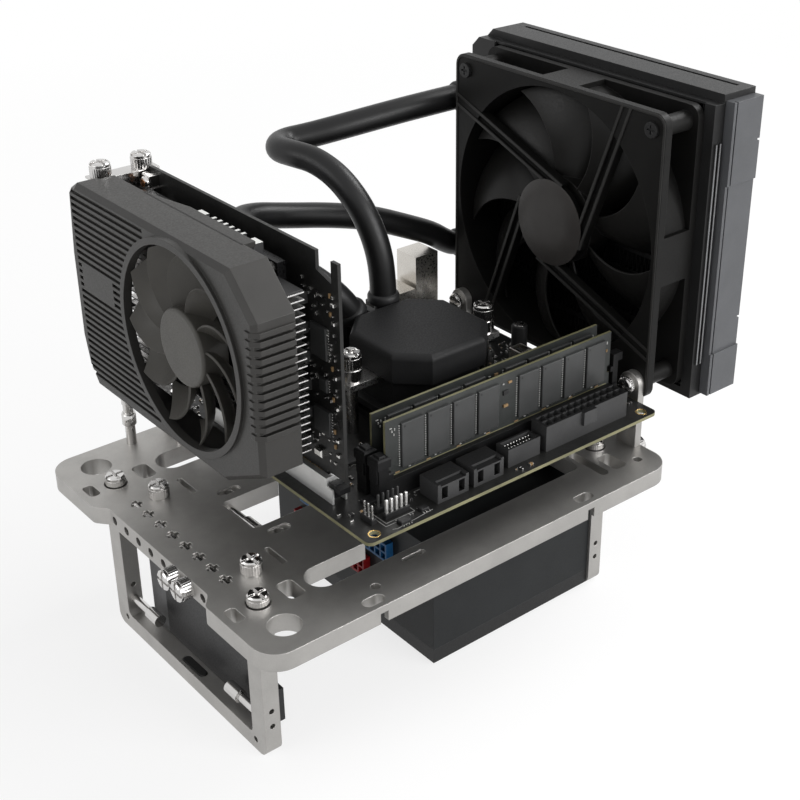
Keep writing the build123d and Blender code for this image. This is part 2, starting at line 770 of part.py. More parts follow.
def radiator_frame():
    rear, front = board_rear - radiator_rear, board_rear - radiator_front
    profile = Polygon((rear, radiator_low), (rear, radiator_high - 9), (rear - 9, radiator_high),
                      (front, radiator_high), (front, radiator_low), align=None)
    body = Plane(origin=(radiator_face, 0, 0), x_dir=(0, 1, 0), z_dir=(1, 0, 0)) * slab(
        profile, 0, radiator_depth)
    body -= span((radiator_face, radiator_back), core_y, (radiator_low + 4, radiator_high - 4))
    wide, tall = radiator_ledge
    body -= span((radiator_face, radiator_face + wide), (front, rear), (radiator_high - tall, radiator_high))
    body -= span((radiator_back - 6.0, radiator_back - 4.0), (front + 6, rear - 16), (radiator_high - 1.5, radiator_high))
    for x in (radiator_face + 1.6, radiator_face + 4.2):
        body += span((x, x + 0.8), (front - 0.9, front), (radiator_low + 18, radiator_high - 22))
    return body


def radiator_cover():
    front = board_rear - radiator_front
    x = (radiator_back - cover_width, radiator_back)
    body = span(x, (front - cover_depth, front), (radiator_low + 1, radiator_high - 3))
    body -= span(x, (front - cover_depth, front - cover_depth + 1.0), (radiator_low + 23, radiator_high - 42))
    for low in (radiator_high - 24, radiator_low + 37):
        body -= span((radiator_back - 1.5, radiator_back), (front - cover_depth, front), (low, low + 1.2))
    return body - span((x[0] + 1.6, x[0] + 2.4), (front - cover_depth, front - cover_depth + 2.0),
                       (radiator_low + 1, radiator_high - 3))


def fan_frame():
    square = RectangleRounded(fan_size, fan_size, 6.0)
    holes = Sketch() + [
        Pos(x * fan_pitch / 2, y * fan_pitch / 2) * Circle(tap_radius) for x in (-1, 1) for y in (-1, 1)
    ]
    posts = Sketch() + [
        Pos(x * fan_pitch / 2, y * fan_pitch / 2) * Circle(4.6) for x in (-1, 1) for y in (-1, 1)
    ]
    flange = square - Circle(fan_duct_radius) - holes
    body = slab(flange, 0, fan_flange) + slab(flange, fan_depth - fan_flange, fan_depth)
    webs = Rectangle(fan_web, fan_size) + Rectangle(fan_size, fan_web)
    walls = webs + Circle(fan_duct_radius + 1.8) + posts - Circle(fan_duct_radius) - holes
    body += slab(walls, fan_flange, fan_depth - fan_flange)
    hub = slab(Circle(fan_hub_radius), 0, 3)
    struts = Part()
    for turn in range(4):
        for offset in (-2.4, 2.4):
            rib = span((0, fan_size), (strut_offset + offset - 0.8, strut_offset + offset + 0.8), (0, 4.4))
            struts += Rot(0, 0, strut_turn + 90 * turn) * rib
        web = span((0, fan_size), (strut_offset - 2.0, strut_offset + 2.0), (1.6, 3.0))
        struts += Rot(0, 0, strut_turn + 90 * turn) * web
    struts &= slab(Circle(fan_duct_radius + 1), 0, 5)
    shaft = Pos(0, 0, 3) * Cylinder(2.5, rotor_seat - 3 + shaft_reach, align=LOW)
    return fan_location * (body + hub + struts + shaft)


rotor_seat = 6.8
fan_location = Plane(origin=(fan_face, fan_y, fan_z), x_dir=(0, -1, 0), z_dir=(1, 0, 0)).location


def radiator_fan_rotor():
    rotor = fan_rotor(22.0, 16.0, fan_duct_radius - 1.5, 9, (21.0, 43.0), (48.0, 22.0), 26.0, 2.5 + running_gap)
    return fan_location * Pos(0, 0, rotor_seat + 16.0) * Rot(180, 0, 0) * rotor


def fan_screws():
    screws = []
    for y in bracket_places:
        face = Vector(fan_face, y, fan_z + fan_pitch / 2)
        head = aim(face, (-1, 0, 0)) * Cylinder(3.6, 1.6, align=LOW)
        for turn in (0, 90):
            head -= aim(face, (-1, 0, 0)) * Rot(0, 0, turn) * Pos(0, 0, 1.6) * Box(4.4, 0.9, 1.4)
        screws.append(head + rod(face, face + Vector(fan_depth - 3, 0, 0), 1.9))
    return screws


# Graphics card
def card_shape(points, low, high):
    """An outline given as (front, up) made solid between two distances to the right."""
    pairs = [(-front, up) for front, up in points]
    plane = Plane(origin=spot(low, 0, 0), x_dir=(0, 1, 0), z_dir=(1, 0, 0))
    return plane * slab(Polygon(*pairs, align=None), 0, high - low)


def card_axis(right):
    """A location on the card fan's axis, pointing to the left."""
    return Plane(origin=spot(right, *card_fan_place), x_dir=(0, -1, 0), z_dir=(-1, 0, 0)).location


def card_board():
    end = card_rear + card_length
    outline = [
        (card_rear, card_low), (48.0, card_low), (48.0, 5.0), (129.5, 5.0), (129.5, card_low), (end, card_low),
        (end, card_high - 1.5), (end - 4.5, card_high - 1.5), (end - 4.5, card_high - 11), (128.0, card_high - 8),
        (128.0, card_high), (card_rear, card_high),
    ]
    return card_shape(outline, card_face, card_face + card_thickness)


fin_low = shroud_low + 14.0
fin_high = fin_low + fin_pitch * (fin_count - 1) + fin_thickness
shroud_boss_places = [(front, up) for front in (20.0, 112.5) for up in (fin_low - 3.2, fin_high + 3.2)]


def card_shroud():
    low, high, end, wall = shroud_low, shroud_high, shroud_end, shroud_wall
    back, skin = shroud_face + shroud_depth, shroud_face + shroud_wall
    outline = [(0.3, low + 8), (7, low), (112, low), (end, low + 15), (end, high - 17), (end - 17, high),
               (5, high), (0.3, high - 5)]
    nose = [(-3, low + 9), (4, low), (40, low), (40, high), (3, high), (-3.5, high - 4), (nose_reach, high - 34),
            (nose_reach, low + 24)]
    body = card_shape(outline, shroud_face, back) + card_shape(nose, shroud_face, nose_back)
    body = chamfer(body.faces().sort_by(Axis.X)[0].edges(), 2.2)
    inner = [(0.3 + wall, low + 9), (8, low + wall), (111, low + wall), (end - wall, low + 16),
             (end - wall, high - 18), (end - 18, high - wall), (6, high - wall), (0.3 + wall, high - 6)]
    body -= card_shape(inner, skin, back)
    hollow = [(0, low + 11), (5, low + wall), (40, low + wall), (40, high - wall), (4, high - wall), (-1, high - 6),
              (nose_reach + wall, high - 35), (nose_reach + wall, low + 25)]
    body -= card_shape(hollow, skin, nose_back)
    for number in range(louvre_count):
        up = low + 6.0 + louvre_pitch * number
        body -= board_span((shroud_face, shroud_face + 1.4), (-1.0, 62.0), (up, up + 1.7))
    body += board_span((shroud_face, shroud_face + 2), (2.0, 30.0), (high - 50.0, high - 37.0))
    for number in range(rib_count):
        up = rib_top - rib_pitch * number
        body -= board_span((shroud_face, back), (end - 1.5, end), (up - 1.5, up))
    body += card_axis(skin) * Cylinder(card_fan_radius + card_ring_width, wall + 1.5, align=LOW)
    body -= card_axis(shroud_face + 8) * Cylinder(card_fan_radius, 12.0, align=LOW)
    for front, up in shroud_boss_places:
        body += rod(spot(skin - 0.5, front, up), spot(fin_right, front, up), 2.4)
    return body


def card_heatsink():
    base = board_span((fin_right, fin_right + sink_base), (9.0, 116.0), (fin_low - 6, fin_high + 6))
    for number in range(fin_count):
        up = fin_low + fin_pitch * number
        base += board_span((fin_left, fin_right), (9.0, 134.0), (up, up + fin_thickness))
    return base + board_span((fin_right + sink_base, card_face), (60.0, 96.0), (48.0, 84.0))


card_rotor_seat = 6.0


def card_fan_base():
    base = card_axis(fin_left) * Cylinder(15.0, 2.5, align=LOW)
    return base + card_axis(fin_left - 2.5) * Cylinder(1.5, card_rotor_seat - 2.5 + shaft_reach, align=LOW)


def card_fan_rotor():
    rotor = fan_rotor(17.2, 12.0, card_fan_radius - 1.2, 11, (11.0, 23.0), (48.0, 29.0), 34.0, 1.5 + running_gap)
    return card_axis(fin_left) * Pos(0, 0, card_rotor_seat + 12.0) * Rot(180, 0, 0) * rotor


def card_bracket():
    left, right = nose_back + 1.5, card_face + 5.0
    front = card_rear - bracket_sheet
    body = board_span((left, right), (front, card_rear), (13.0, flange_up))
    body += board_span((-1.0, right - 5), (front, card_rear), (-8.0, 13.0))
    flange = board_span((nose_back + 0.3, right), (post_front - 5.0, card_rear), (flange_up - bracket_sheet, flange_up))
    for x, y in post_places:
        flange -= rod((x, y, board_top + flange_up - 3), (x, y, board_top + flange_up + 1), 2.3)
    for number in range(8):
        low = 20.0 + 10.0 * number
        body -= board_span((left + 4, left + 16), (front, card_rear), (low, low + 5))
    tab = board_span((card_face - 5.0, card_face), (card_rear, 9.0), (96.0, 104.0))
    return body + flange + tab


def card_parts():
    ends = [(61.0, 67.0), (101.0, 107.0)]
    bars = [(71.5 + 4.4 * number, 73.1 + 4.4 * number) for number in range(6)]
    return [board_span((-5.5, fin_right), front, (fin_high, shroud_high - 2.0)) for front in ends + bars]


# Power supply
def supply_tray():
    y = (-supply_width / 2, supply_width / 2)
    body = span((supply_left, supply_right), y, (supply_floor_gap, supply_floor_gap + supply_seam))
    inner = supply_wall
    return body - span((supply_left + inner, supply_right - inner), (y[0] + inner, y[1] - inner),
                       (supply_floor_gap + inner, supply_floor_gap + supply_seam))


def supply_cover():
    y = (-supply_width / 2, supply_width / 2)
    low = supply_floor_gap + supply_seam
    wall = supply_wall
    body = span((supply_left, supply_right), y, (low, supply_top))
    body -= span((supply_left + wall, supply_right - wall), (y[0] + wall, y[1] - wall), (low, supply_top - wall))
    body -= Pos(supply_middle, 0, supply_top - wall) * Cylinder(supply_fan_radius, wall, align=LOW)
    body -= span((supply_right - wall, supply_right), inlet_y, inlet_z)
    body -= span((supply_right - wall, supply_right), switch_y, switch_z)
    for row in range(5):
        for number in range(7):
            spot_y, spot_z = -48.0 + 8.0 * number, 20.0 + 8.0 * row
            body -= span((supply_right - wall, supply_right), (spot_y, spot_y + 5.6), (spot_z, spot_z + 5.6))
    return body


inlet_y = (supply_width / 2 - 38.5, supply_width / 2 - 11.5)
inlet_z = (28.0, 47.0)
switch_y = (supply_width / 2 - 34.5, supply_width / 2 - 15.5)
switch_z = (13.0, 24.0)


supply_rotor_seat = 3.0


def supply_fan_frame():
    top = supply_top - supply_wall
    half = supply_fan_radius + 3.0
    frame = Rectangle(2 * half, 2 * half) - Circle(supply_fan_radius)
    body = Pos(supply_middle, 0) * slab(frame, top - supply_fan_depth, top)
    base = top - supply_fan_depth
    hub = Pos(supply_middle, 0, base) * Cylinder(12.0, 2.0, align=LOW)
    arms = Part()
    for turn in range(3):
        arms += Pos(supply_middle, 0, base) * Rot(0, 0, 120 * turn) * span((8, supply_fan_radius + 1), (-2, 2), (0, 2))
    shaft = Pos(supply_middle, 0, base + 2) * Cylinder(1.5, supply_rotor_seat - 2 + shaft_reach, align=LOW)
    return body + hub + arms + shaft


def supply_fan_rotor():
    rotor = fan_rotor(14.0, 11.0, supply_fan_radius - 1.2, 7, (12.0, 23.0), (42.0, 25.0), 22.0, 1.5 + running_gap)
    base = supply_top - supply_wall - supply_fan_depth + supply_rotor_seat
    return Pos(supply_middle, 0, base + 11.0) * Rot(180, 0, 0) * rotor


def supply_guard():
    guard = Part()
    for radius in (10.0, 18.0, 26.0, 34.0):
        guard += Pos(supply_middle, 0, supply_top) * slab(Circle(radius) - Circle(radius - 1.6), 0, 1.6)
    for turn in range(2):
        bar = span((-supply_fan_radius - 3, supply_fan_radius + 3), (-0.8, 0.8), (0, 1.6))
        guard += Pos(supply_middle, 0, supply_top) * Rot(0, 0, 45 + 90 * turn) * bar
    return guard


def supply_sockets():
    parts = []
    for y, z, wide, tall in ((-24.0, 44.0, 18.0, 10.0), (2.0, 44.0, 18.0, 10.0), (28.0, 44.0, 18.0, 10.0),
                             (-36.0, 26.0, 22.0, 10.0), (0.0, 26.0, 30.0, 10.0), (34.0, 26.0, 18.0, 10.0)):
        body = span((supply_left - 4.0, supply_left), (y - wide / 2, y + wide / 2), (z, z + tall))
        for number in range(int(wide / 4.2)):
            low = y - wide / 2 + 1.0 + 4.2 * number
            for row in (0, 1):
                body -= span((supply_left - 4.0, supply_left - 1.0), (low, low + 3.2),
                             (z + 1.2 + 4.2 * row, z + 4.4 + 4.2 * row))
        parts.append(body)
    return parts


def supply_inlet():
    gap = 0.2
    y, z = (inlet_y[0] + gap, inlet_y[1] - gap), (inlet_z[0] + gap, inlet_z[1] - gap)
    body = span((supply_right - 14.0, supply_right), y, z)
    body -= span((supply_right - 12.0, supply_right), (y[0] + 2.5, y[1] - 2.5), (z[0] + 2.5, z[1] - 2.5))
    for offset in (-7.0, 0.0, 7.0):
        middle = (y[0] + y[1]) / 2 + offset
        height = (z[0] + z[1]) / 2 + (2.0 if offset == 0 else -2.0)
        body += span((supply_right - 12.0, supply_right - 3.0), (middle - 1.0, middle + 1.0), (height - 2, height + 2))
    return body


def supply_switch_frame():
    gap = 0.2
    y, z = (switch_y[0] + gap, switch_y[1] - gap), (switch_z[0] + gap, switch_z[1] - gap)
    body = span((supply_right - 9.0, supply_right), y, z)
    body -= span((supply_right - 7.0, supply_right), (y[0] + 1.6, y[1] - 1.6), (z[0] + 1.6, z[1] - 1.6))
    return body + rod((switch_axis_x, sum(y) / 2, z[0] + 1), (switch_axis_x, sum(y) / 2, z[1] - 1), 0.9)


switch_axis_x = supply_right - 3.0


switch_tilt = 6.0


def supply_switch():
    z = (switch_z[0] + 2.1, switch_z[1] - 2.1)
    half = (switch_y[1] - switch_y[0]) / 2 - 2.3
    outline = Polygon((-2.0, -2.5), (1.2, -half), (2.2, -half), (1.6, 0), (2.2, half), (1.2, half),
                      (-2.0, 2.5), align=None)
    body = slab(outline - Circle(0.9 + running_gap), 0, z[1] - z[0])
    return Pos(switch_axis_x, sum(switch_y) / 2, z[0]) * Rot(0, 0, switch_tilt) * body


pieces = {
    "base_plate": base_plate(),
    "left_leg": leg(-1),
    "right_leg": leg(1),
    "leg_thumbscrews": leg_thumbscrews(),
    "drive_thumbscrews": drive_thumbscrews(),
    "edge_thumbscrews": edge_thumbscrews(),
    "stored_pins": stored_pins(),
    "storage_drive": storage_drive(),
    "card_posts": card_posts(),
    "card_thumbscrews": card_thumbscrews(),
    "front_radiator_bracket": radiator_bracket(bracket_places[0]),
    "rear_radiator_bracket": radiator_bracket(bracket_places[1]),
    "bracket_thumbscrews": bracket_thumbscrews(),
    "motherboard": motherboard(),
    "board_standoffs": board_standoffs(),
    "board_screws": board_screws(),
    "io_ports": io_ports(),
    "regulator_heatsink": regulator_heatsink(),
    "memory_slots": memory_slots(),
    "near_memory_latch": memory_latch(slot_near),
    "far_memory_latch": memory_latch(slot_near - slot_pitch),
    "near_memory_module": memory_module(slot_near),
    "far_memory_module": memory_module(slot_near - slot_pitch),
    "card_slot": card_slot(),
    "card_slot_latch": card_slot_latch(),
    "power_connector": power_connector(),
    "drive_connectors": drive_connectors(),
    "usb_header": usb_header(),
    "pin_headers": pin_headers(),
    "processor_socket": processor_socket(),
    "processor": processor(),
    "pump_body": pump_body(),
    "pump_cap": pump_cap(),
    "pump_bracket": pump_bracket(),
    "pump_posts": pump_posts(),
    "hose_fittings": hose_fittings(),
    "upper_hose": hose(upper_route, "upper_hose"),
    "lower_hose": hose(lower_route, "lower_hose"),
    "radiator_core": radiator_core(),
    "radiator_frame": radiator_frame(),
    "radiator_cover": radiator_cover(),
    "fan_frame": fan_frame(),
    "radiator_fan_rotor": radiator_fan_rotor(),
    "fan_screws": fan_screws(),
    "card_board": card_board(),
    "card_shroud": card_shroud(),
    "card_heatsink": card_heatsink(),
    "card_fan_base": card_fan_base(),
    "card_fan_rotor": card_fan_rotor(),
    "card_bracket": card_bracket(),
    "card_parts": card_parts(),
    "supply_tray": supply_tray(),
    "supply_cover": supply_cover(),
    "supply_fan_frame": supply_fan_frame(),
    "supply_fan_rotor": supply_fan_rotor(),
    "supply_guard": supply_guard(),
    "supply_sockets": supply_sockets(),
    "supply_inlet": supply_inlet(),
    "supply_switch_frame": supply_switch_frame(),
    "supply_switch": supply_switch(),
}

# Everything is drawn from the plate's middle, then moved so that the origin is under the whole bench's middle.
frame_shift = (radiator_back - plate_width / 2) / 2
print("frame shift", round(frame_shift, 3))
os.makedirs("parts", exist_ok=True)
for name, shape in pieces.items():
    group = shape if isinstance(shape, list) else [shape]
    moved = [Pos(-frame_shift, 0, 0) * single for single in group]
    export_step(moved[0] if len(moved) == 1 else Compound(children=moved), f"parts/{name}.step")
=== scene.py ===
import bpy
import math
import random
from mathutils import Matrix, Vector


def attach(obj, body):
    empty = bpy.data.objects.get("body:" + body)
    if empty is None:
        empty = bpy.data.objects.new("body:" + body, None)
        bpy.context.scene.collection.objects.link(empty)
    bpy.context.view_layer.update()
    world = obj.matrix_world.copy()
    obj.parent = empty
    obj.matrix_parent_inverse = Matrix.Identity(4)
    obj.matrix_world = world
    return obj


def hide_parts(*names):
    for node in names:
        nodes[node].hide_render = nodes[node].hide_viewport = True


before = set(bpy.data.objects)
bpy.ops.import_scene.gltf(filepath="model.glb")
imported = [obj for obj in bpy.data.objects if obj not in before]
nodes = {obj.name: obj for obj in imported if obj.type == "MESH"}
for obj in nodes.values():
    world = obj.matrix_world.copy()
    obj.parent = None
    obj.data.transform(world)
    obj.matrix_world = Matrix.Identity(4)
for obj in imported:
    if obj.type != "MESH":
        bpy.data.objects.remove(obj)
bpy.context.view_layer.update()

MM = 0.001
SEED = 4
rng = random.Random(SEED)

# Places in millimetres. On the board: right and forward from its rear left corner, up from its top face.
# On the bench: from the plate's middle and the floor.
BOARD_LEFT, BOARD_REAR, BOARD_TOP = -85.85, 83.7, 104.0
PLATE_SHIFT = -25.85
# How far a small part is sunk into the face that carries it
SINK = 0.05


def spot(right, front, up):
    """A place on the board as a point of the frame, in millimetres."""
    return Vector((BOARD_LEFT + right, BOARD_REAR - front, BOARD_TOP + up))


def bench(x, y, z):
    """A place on the bench as a point of the frame, in millimetres."""
    return Vector((x + PLATE_SHIFT, y, z))


def placed(name, data):
    """A new object of the scene."""
    piece = bpy.data.objects.new(name, data)
    bpy.context.collection.objects.link(piece)
    return piece


# Materials
EVEN = (1.0, 1.0, 1.0)
NOISE_ROUGHNESS = 0.6
BROAD_SCALE, BROAD_DETAIL, FINE_DETAIL = 60.0, 3.0, 2.0
FACING_START, FACING_END = 0.6, 0.8
BEVEL_SAMPLES = 4
METAL_SPECULAR = 0.5
ROUGH_LOW, ROUGH_HIGH, ROUGH_LEAST = 0.82, 1.18, 0.02
BUMP_DEPTH = 0.2
# Painted edge highlight: where rounded edges are lightened, and how much lighter their colour is
HIGHLIGHT_START, HIGHLIGHT_END, HIGHLIGHT_GAIN, HIGHLIGHT_LIFT, HIGHLIGHT_SPREAD = 0.75, 0.97, 3.0, 0.05, 0.3


def new_material(name):
    material = bpy.data.materials.new(name)
    material.use_nodes = True
    tree = material.node_tree
    return material, tree, tree.nodes["Principled BSDF"]


def fill(node, **values):
    """Sets a shader node's properties and unlinked inputs by name."""
    for key, value in values.items():
        if hasattr(node, key):
            setattr(node, key, value)
        else:
            node.inputs[key.replace("_", " ")].default_value = value
    return node


def add(tree, kind, **values):
    """A new shader node, filled."""
    return fill(tree.nodes.new(kind), **values)


def grain(tree, scale, detail, stretch=EVEN):
    """Noise in the object's own metres, stretched along an axis for brushed metal."""
    where = add(tree, "ShaderNodeTexCoord")
    spread = add(tree, "ShaderNodeMapping", Scale=stretch)
    noise = add(tree, "ShaderNodeTexNoise", Scale=scale, Detail=detail, Roughness=NOISE_ROUGHNESS)
    tree.links.new(where.outputs["Object"], spread.inputs["Vector"])
    tree.links.new(spread.outputs["Vector"], noise.inputs["Vector"])
    return noise.outputs["Fac"]


def ramp(tree, source, low, high, start=0.35, end=0.65):
    """Maps a 0 to 1 value to a colour or number between low and high."""
    node = add(tree, "ShaderNodeValToRGB")
    node.color_ramp.elements[0].position, node.color_ramp.elements[1].position = start, end
    for element, value in zip(node.color_ramp.elements, (low, high)):
        element.color = (*value, 1.0) if isinstance(value, tuple) else (value, value, value, 1.0)
    tree.links.new(source, node.inputs["Fac"])
    return node.outputs["Color"]


def mottled(tree, noise, colour, spread):
    """A colour that the noise darkens and lightens by a share."""
    darker = tuple(c * (1 - spread) for c in colour)
    lighter = tuple(min(1.0, c * (1 + spread)) for c in colour)
    return ramp(tree, noise, darker, lighter)


def mixed(tree, share, first, second):
    """The first colour where share is 0, the second where it is 1."""
    mix = add(tree, "ShaderNodeMix", data_type="RGBA")
    tree.links.new(share, mix.inputs["Factor"])
    tree.links.new(first, mix.inputs["A"])
    tree.links.new(second, mix.inputs["B"])
    return mix.outputs["Result"]


def combined(tree, operation, first, second):
    """Two numbers through a math node."""
    node = add(tree, "ShaderNodeMath", operation=operation)
    tree.links.new(first, node.inputs[0])
    tree.links.new(second, node.inputs[1])
    return node.outputs[0]


def facing_mask(tree, axis):
    """1 on faces that look along an axis, 0 on the faces round them."""
    normal = add(tree, "ShaderNodeNewGeometry")
    parts = add(tree, "ShaderNodeSeparateXYZ")
    size = add(tree, "ShaderNodeMath", operation="ABSOLUTE")
    tree.links.new(normal.outputs["True Normal"], parts.inputs["Vector"])
    tree.links.new(parts.outputs[axis], size.inputs[0])
    return ramp(tree, size.outputs[0], 0.0, 1.0, FACING_START, FACING_END)


def place_mask(tree, *limits):
    """1 where every (axis, from, to) in millimetres is past, fading between from and to."""
    where = add(tree, "ShaderNodeTexCoord")
    parts = add(tree, "ShaderNodeSeparateXYZ")
    tree.links.new(where.outputs["Object"], parts.inputs["Vector"])
    mask = None
    for axis, start, end in limits:
        step = add(tree, "ShaderNodeMapRange", From_Min=start * MM, From_Max=end * MM)
        tree.links.new(parts.outputs[axis], step.inputs["Value"])
        share = step.outputs["Result"]
        mask = share if mask is None else combined(tree, "MULTIPLY", mask, share)
    return mask


def surface(name, colour, roughness, metallic, spread, grain_scale, bump, edge,
            stretch=EVEN, second=None, where=None, edge_highlight=0.0, gloss=0.3):
    """A moulded, blasted or painted finish: mottled colour and roughness, fine bump and softened edges.
    spread is how far the colour varies, and edge is the softened edges' radius in millimetres.
    second is another colour: where is the axis that its faces look along, or the limits of its place.
    edge_highlight paints a highlight on the outer edges as a lighter colour, and gloss is the specular level
    of what isn't metal."""
    material, tree, shader = new_material(name)
    links = tree.links
    fill(shader, Metallic=metallic, Specular_IOR_Level=METAL_SPECULAR if metallic else gloss)
    broad = grain(tree, BROAD_SCALE, BROAD_DETAIL)
    fine = grain(tree, grain_scale, FINE_DETAIL, stretch)
    tint = mottled(tree, broad, colour, spread)
    rounding = add(tree, "ShaderNodeBevel", samples=BEVEL_SAMPLES, Radius=edge * MM)
    if second is not None:
        mask = facing_mask(tree, where) if isinstance(where, str) else place_mask(tree, *where)
        tint = mixed(tree, mask, tint, mottled(tree, broad, second, spread))
    # Painted highlight: the rounded outer edges get a lighter colour
    if edge_highlight > 0.0:
        flat = add(tree, "ShaderNodeNewGeometry")
        turn = add(tree, "ShaderNodeVectorMath", operation="DOT_PRODUCT")
        links.new(flat.outputs["True Normal"], turn.inputs[0])
        links.new(rounding.outputs["Normal"], turn.inputs[1])
        highlight_share = ramp(tree, turn.outputs["Value"], edge_highlight, 0.0, HIGHLIGHT_START, HIGHLIGHT_END)
        highlight_colour = tuple(min(1.0, HIGHLIGHT_GAIN * c + HIGHLIGHT_LIFT) for c in colour)
        tint = mixed(tree, highlight_share, tint, mottled(tree, fine, highlight_colour, HIGHLIGHT_SPREAD))
    links.new(tint, shader.inputs["Base Color"])
    rough = ramp(tree, fine, max(ROUGH_LEAST, roughness * ROUGH_LOW), min(1.0, roughness * ROUGH_HIGH))
    links.new(rough, shader.inputs["Roughness"])
    relief = add(tree, "ShaderNodeBump", Strength=bump, Distance=BUMP_DEPTH * MM)
    links.new(fine, relief.inputs["Height"])
    links.new(rounding.outputs["Normal"], relief.inputs["Normal"])
    links.new(relief.outputs["Normal"], shader.inputs["Normal"])
    return material
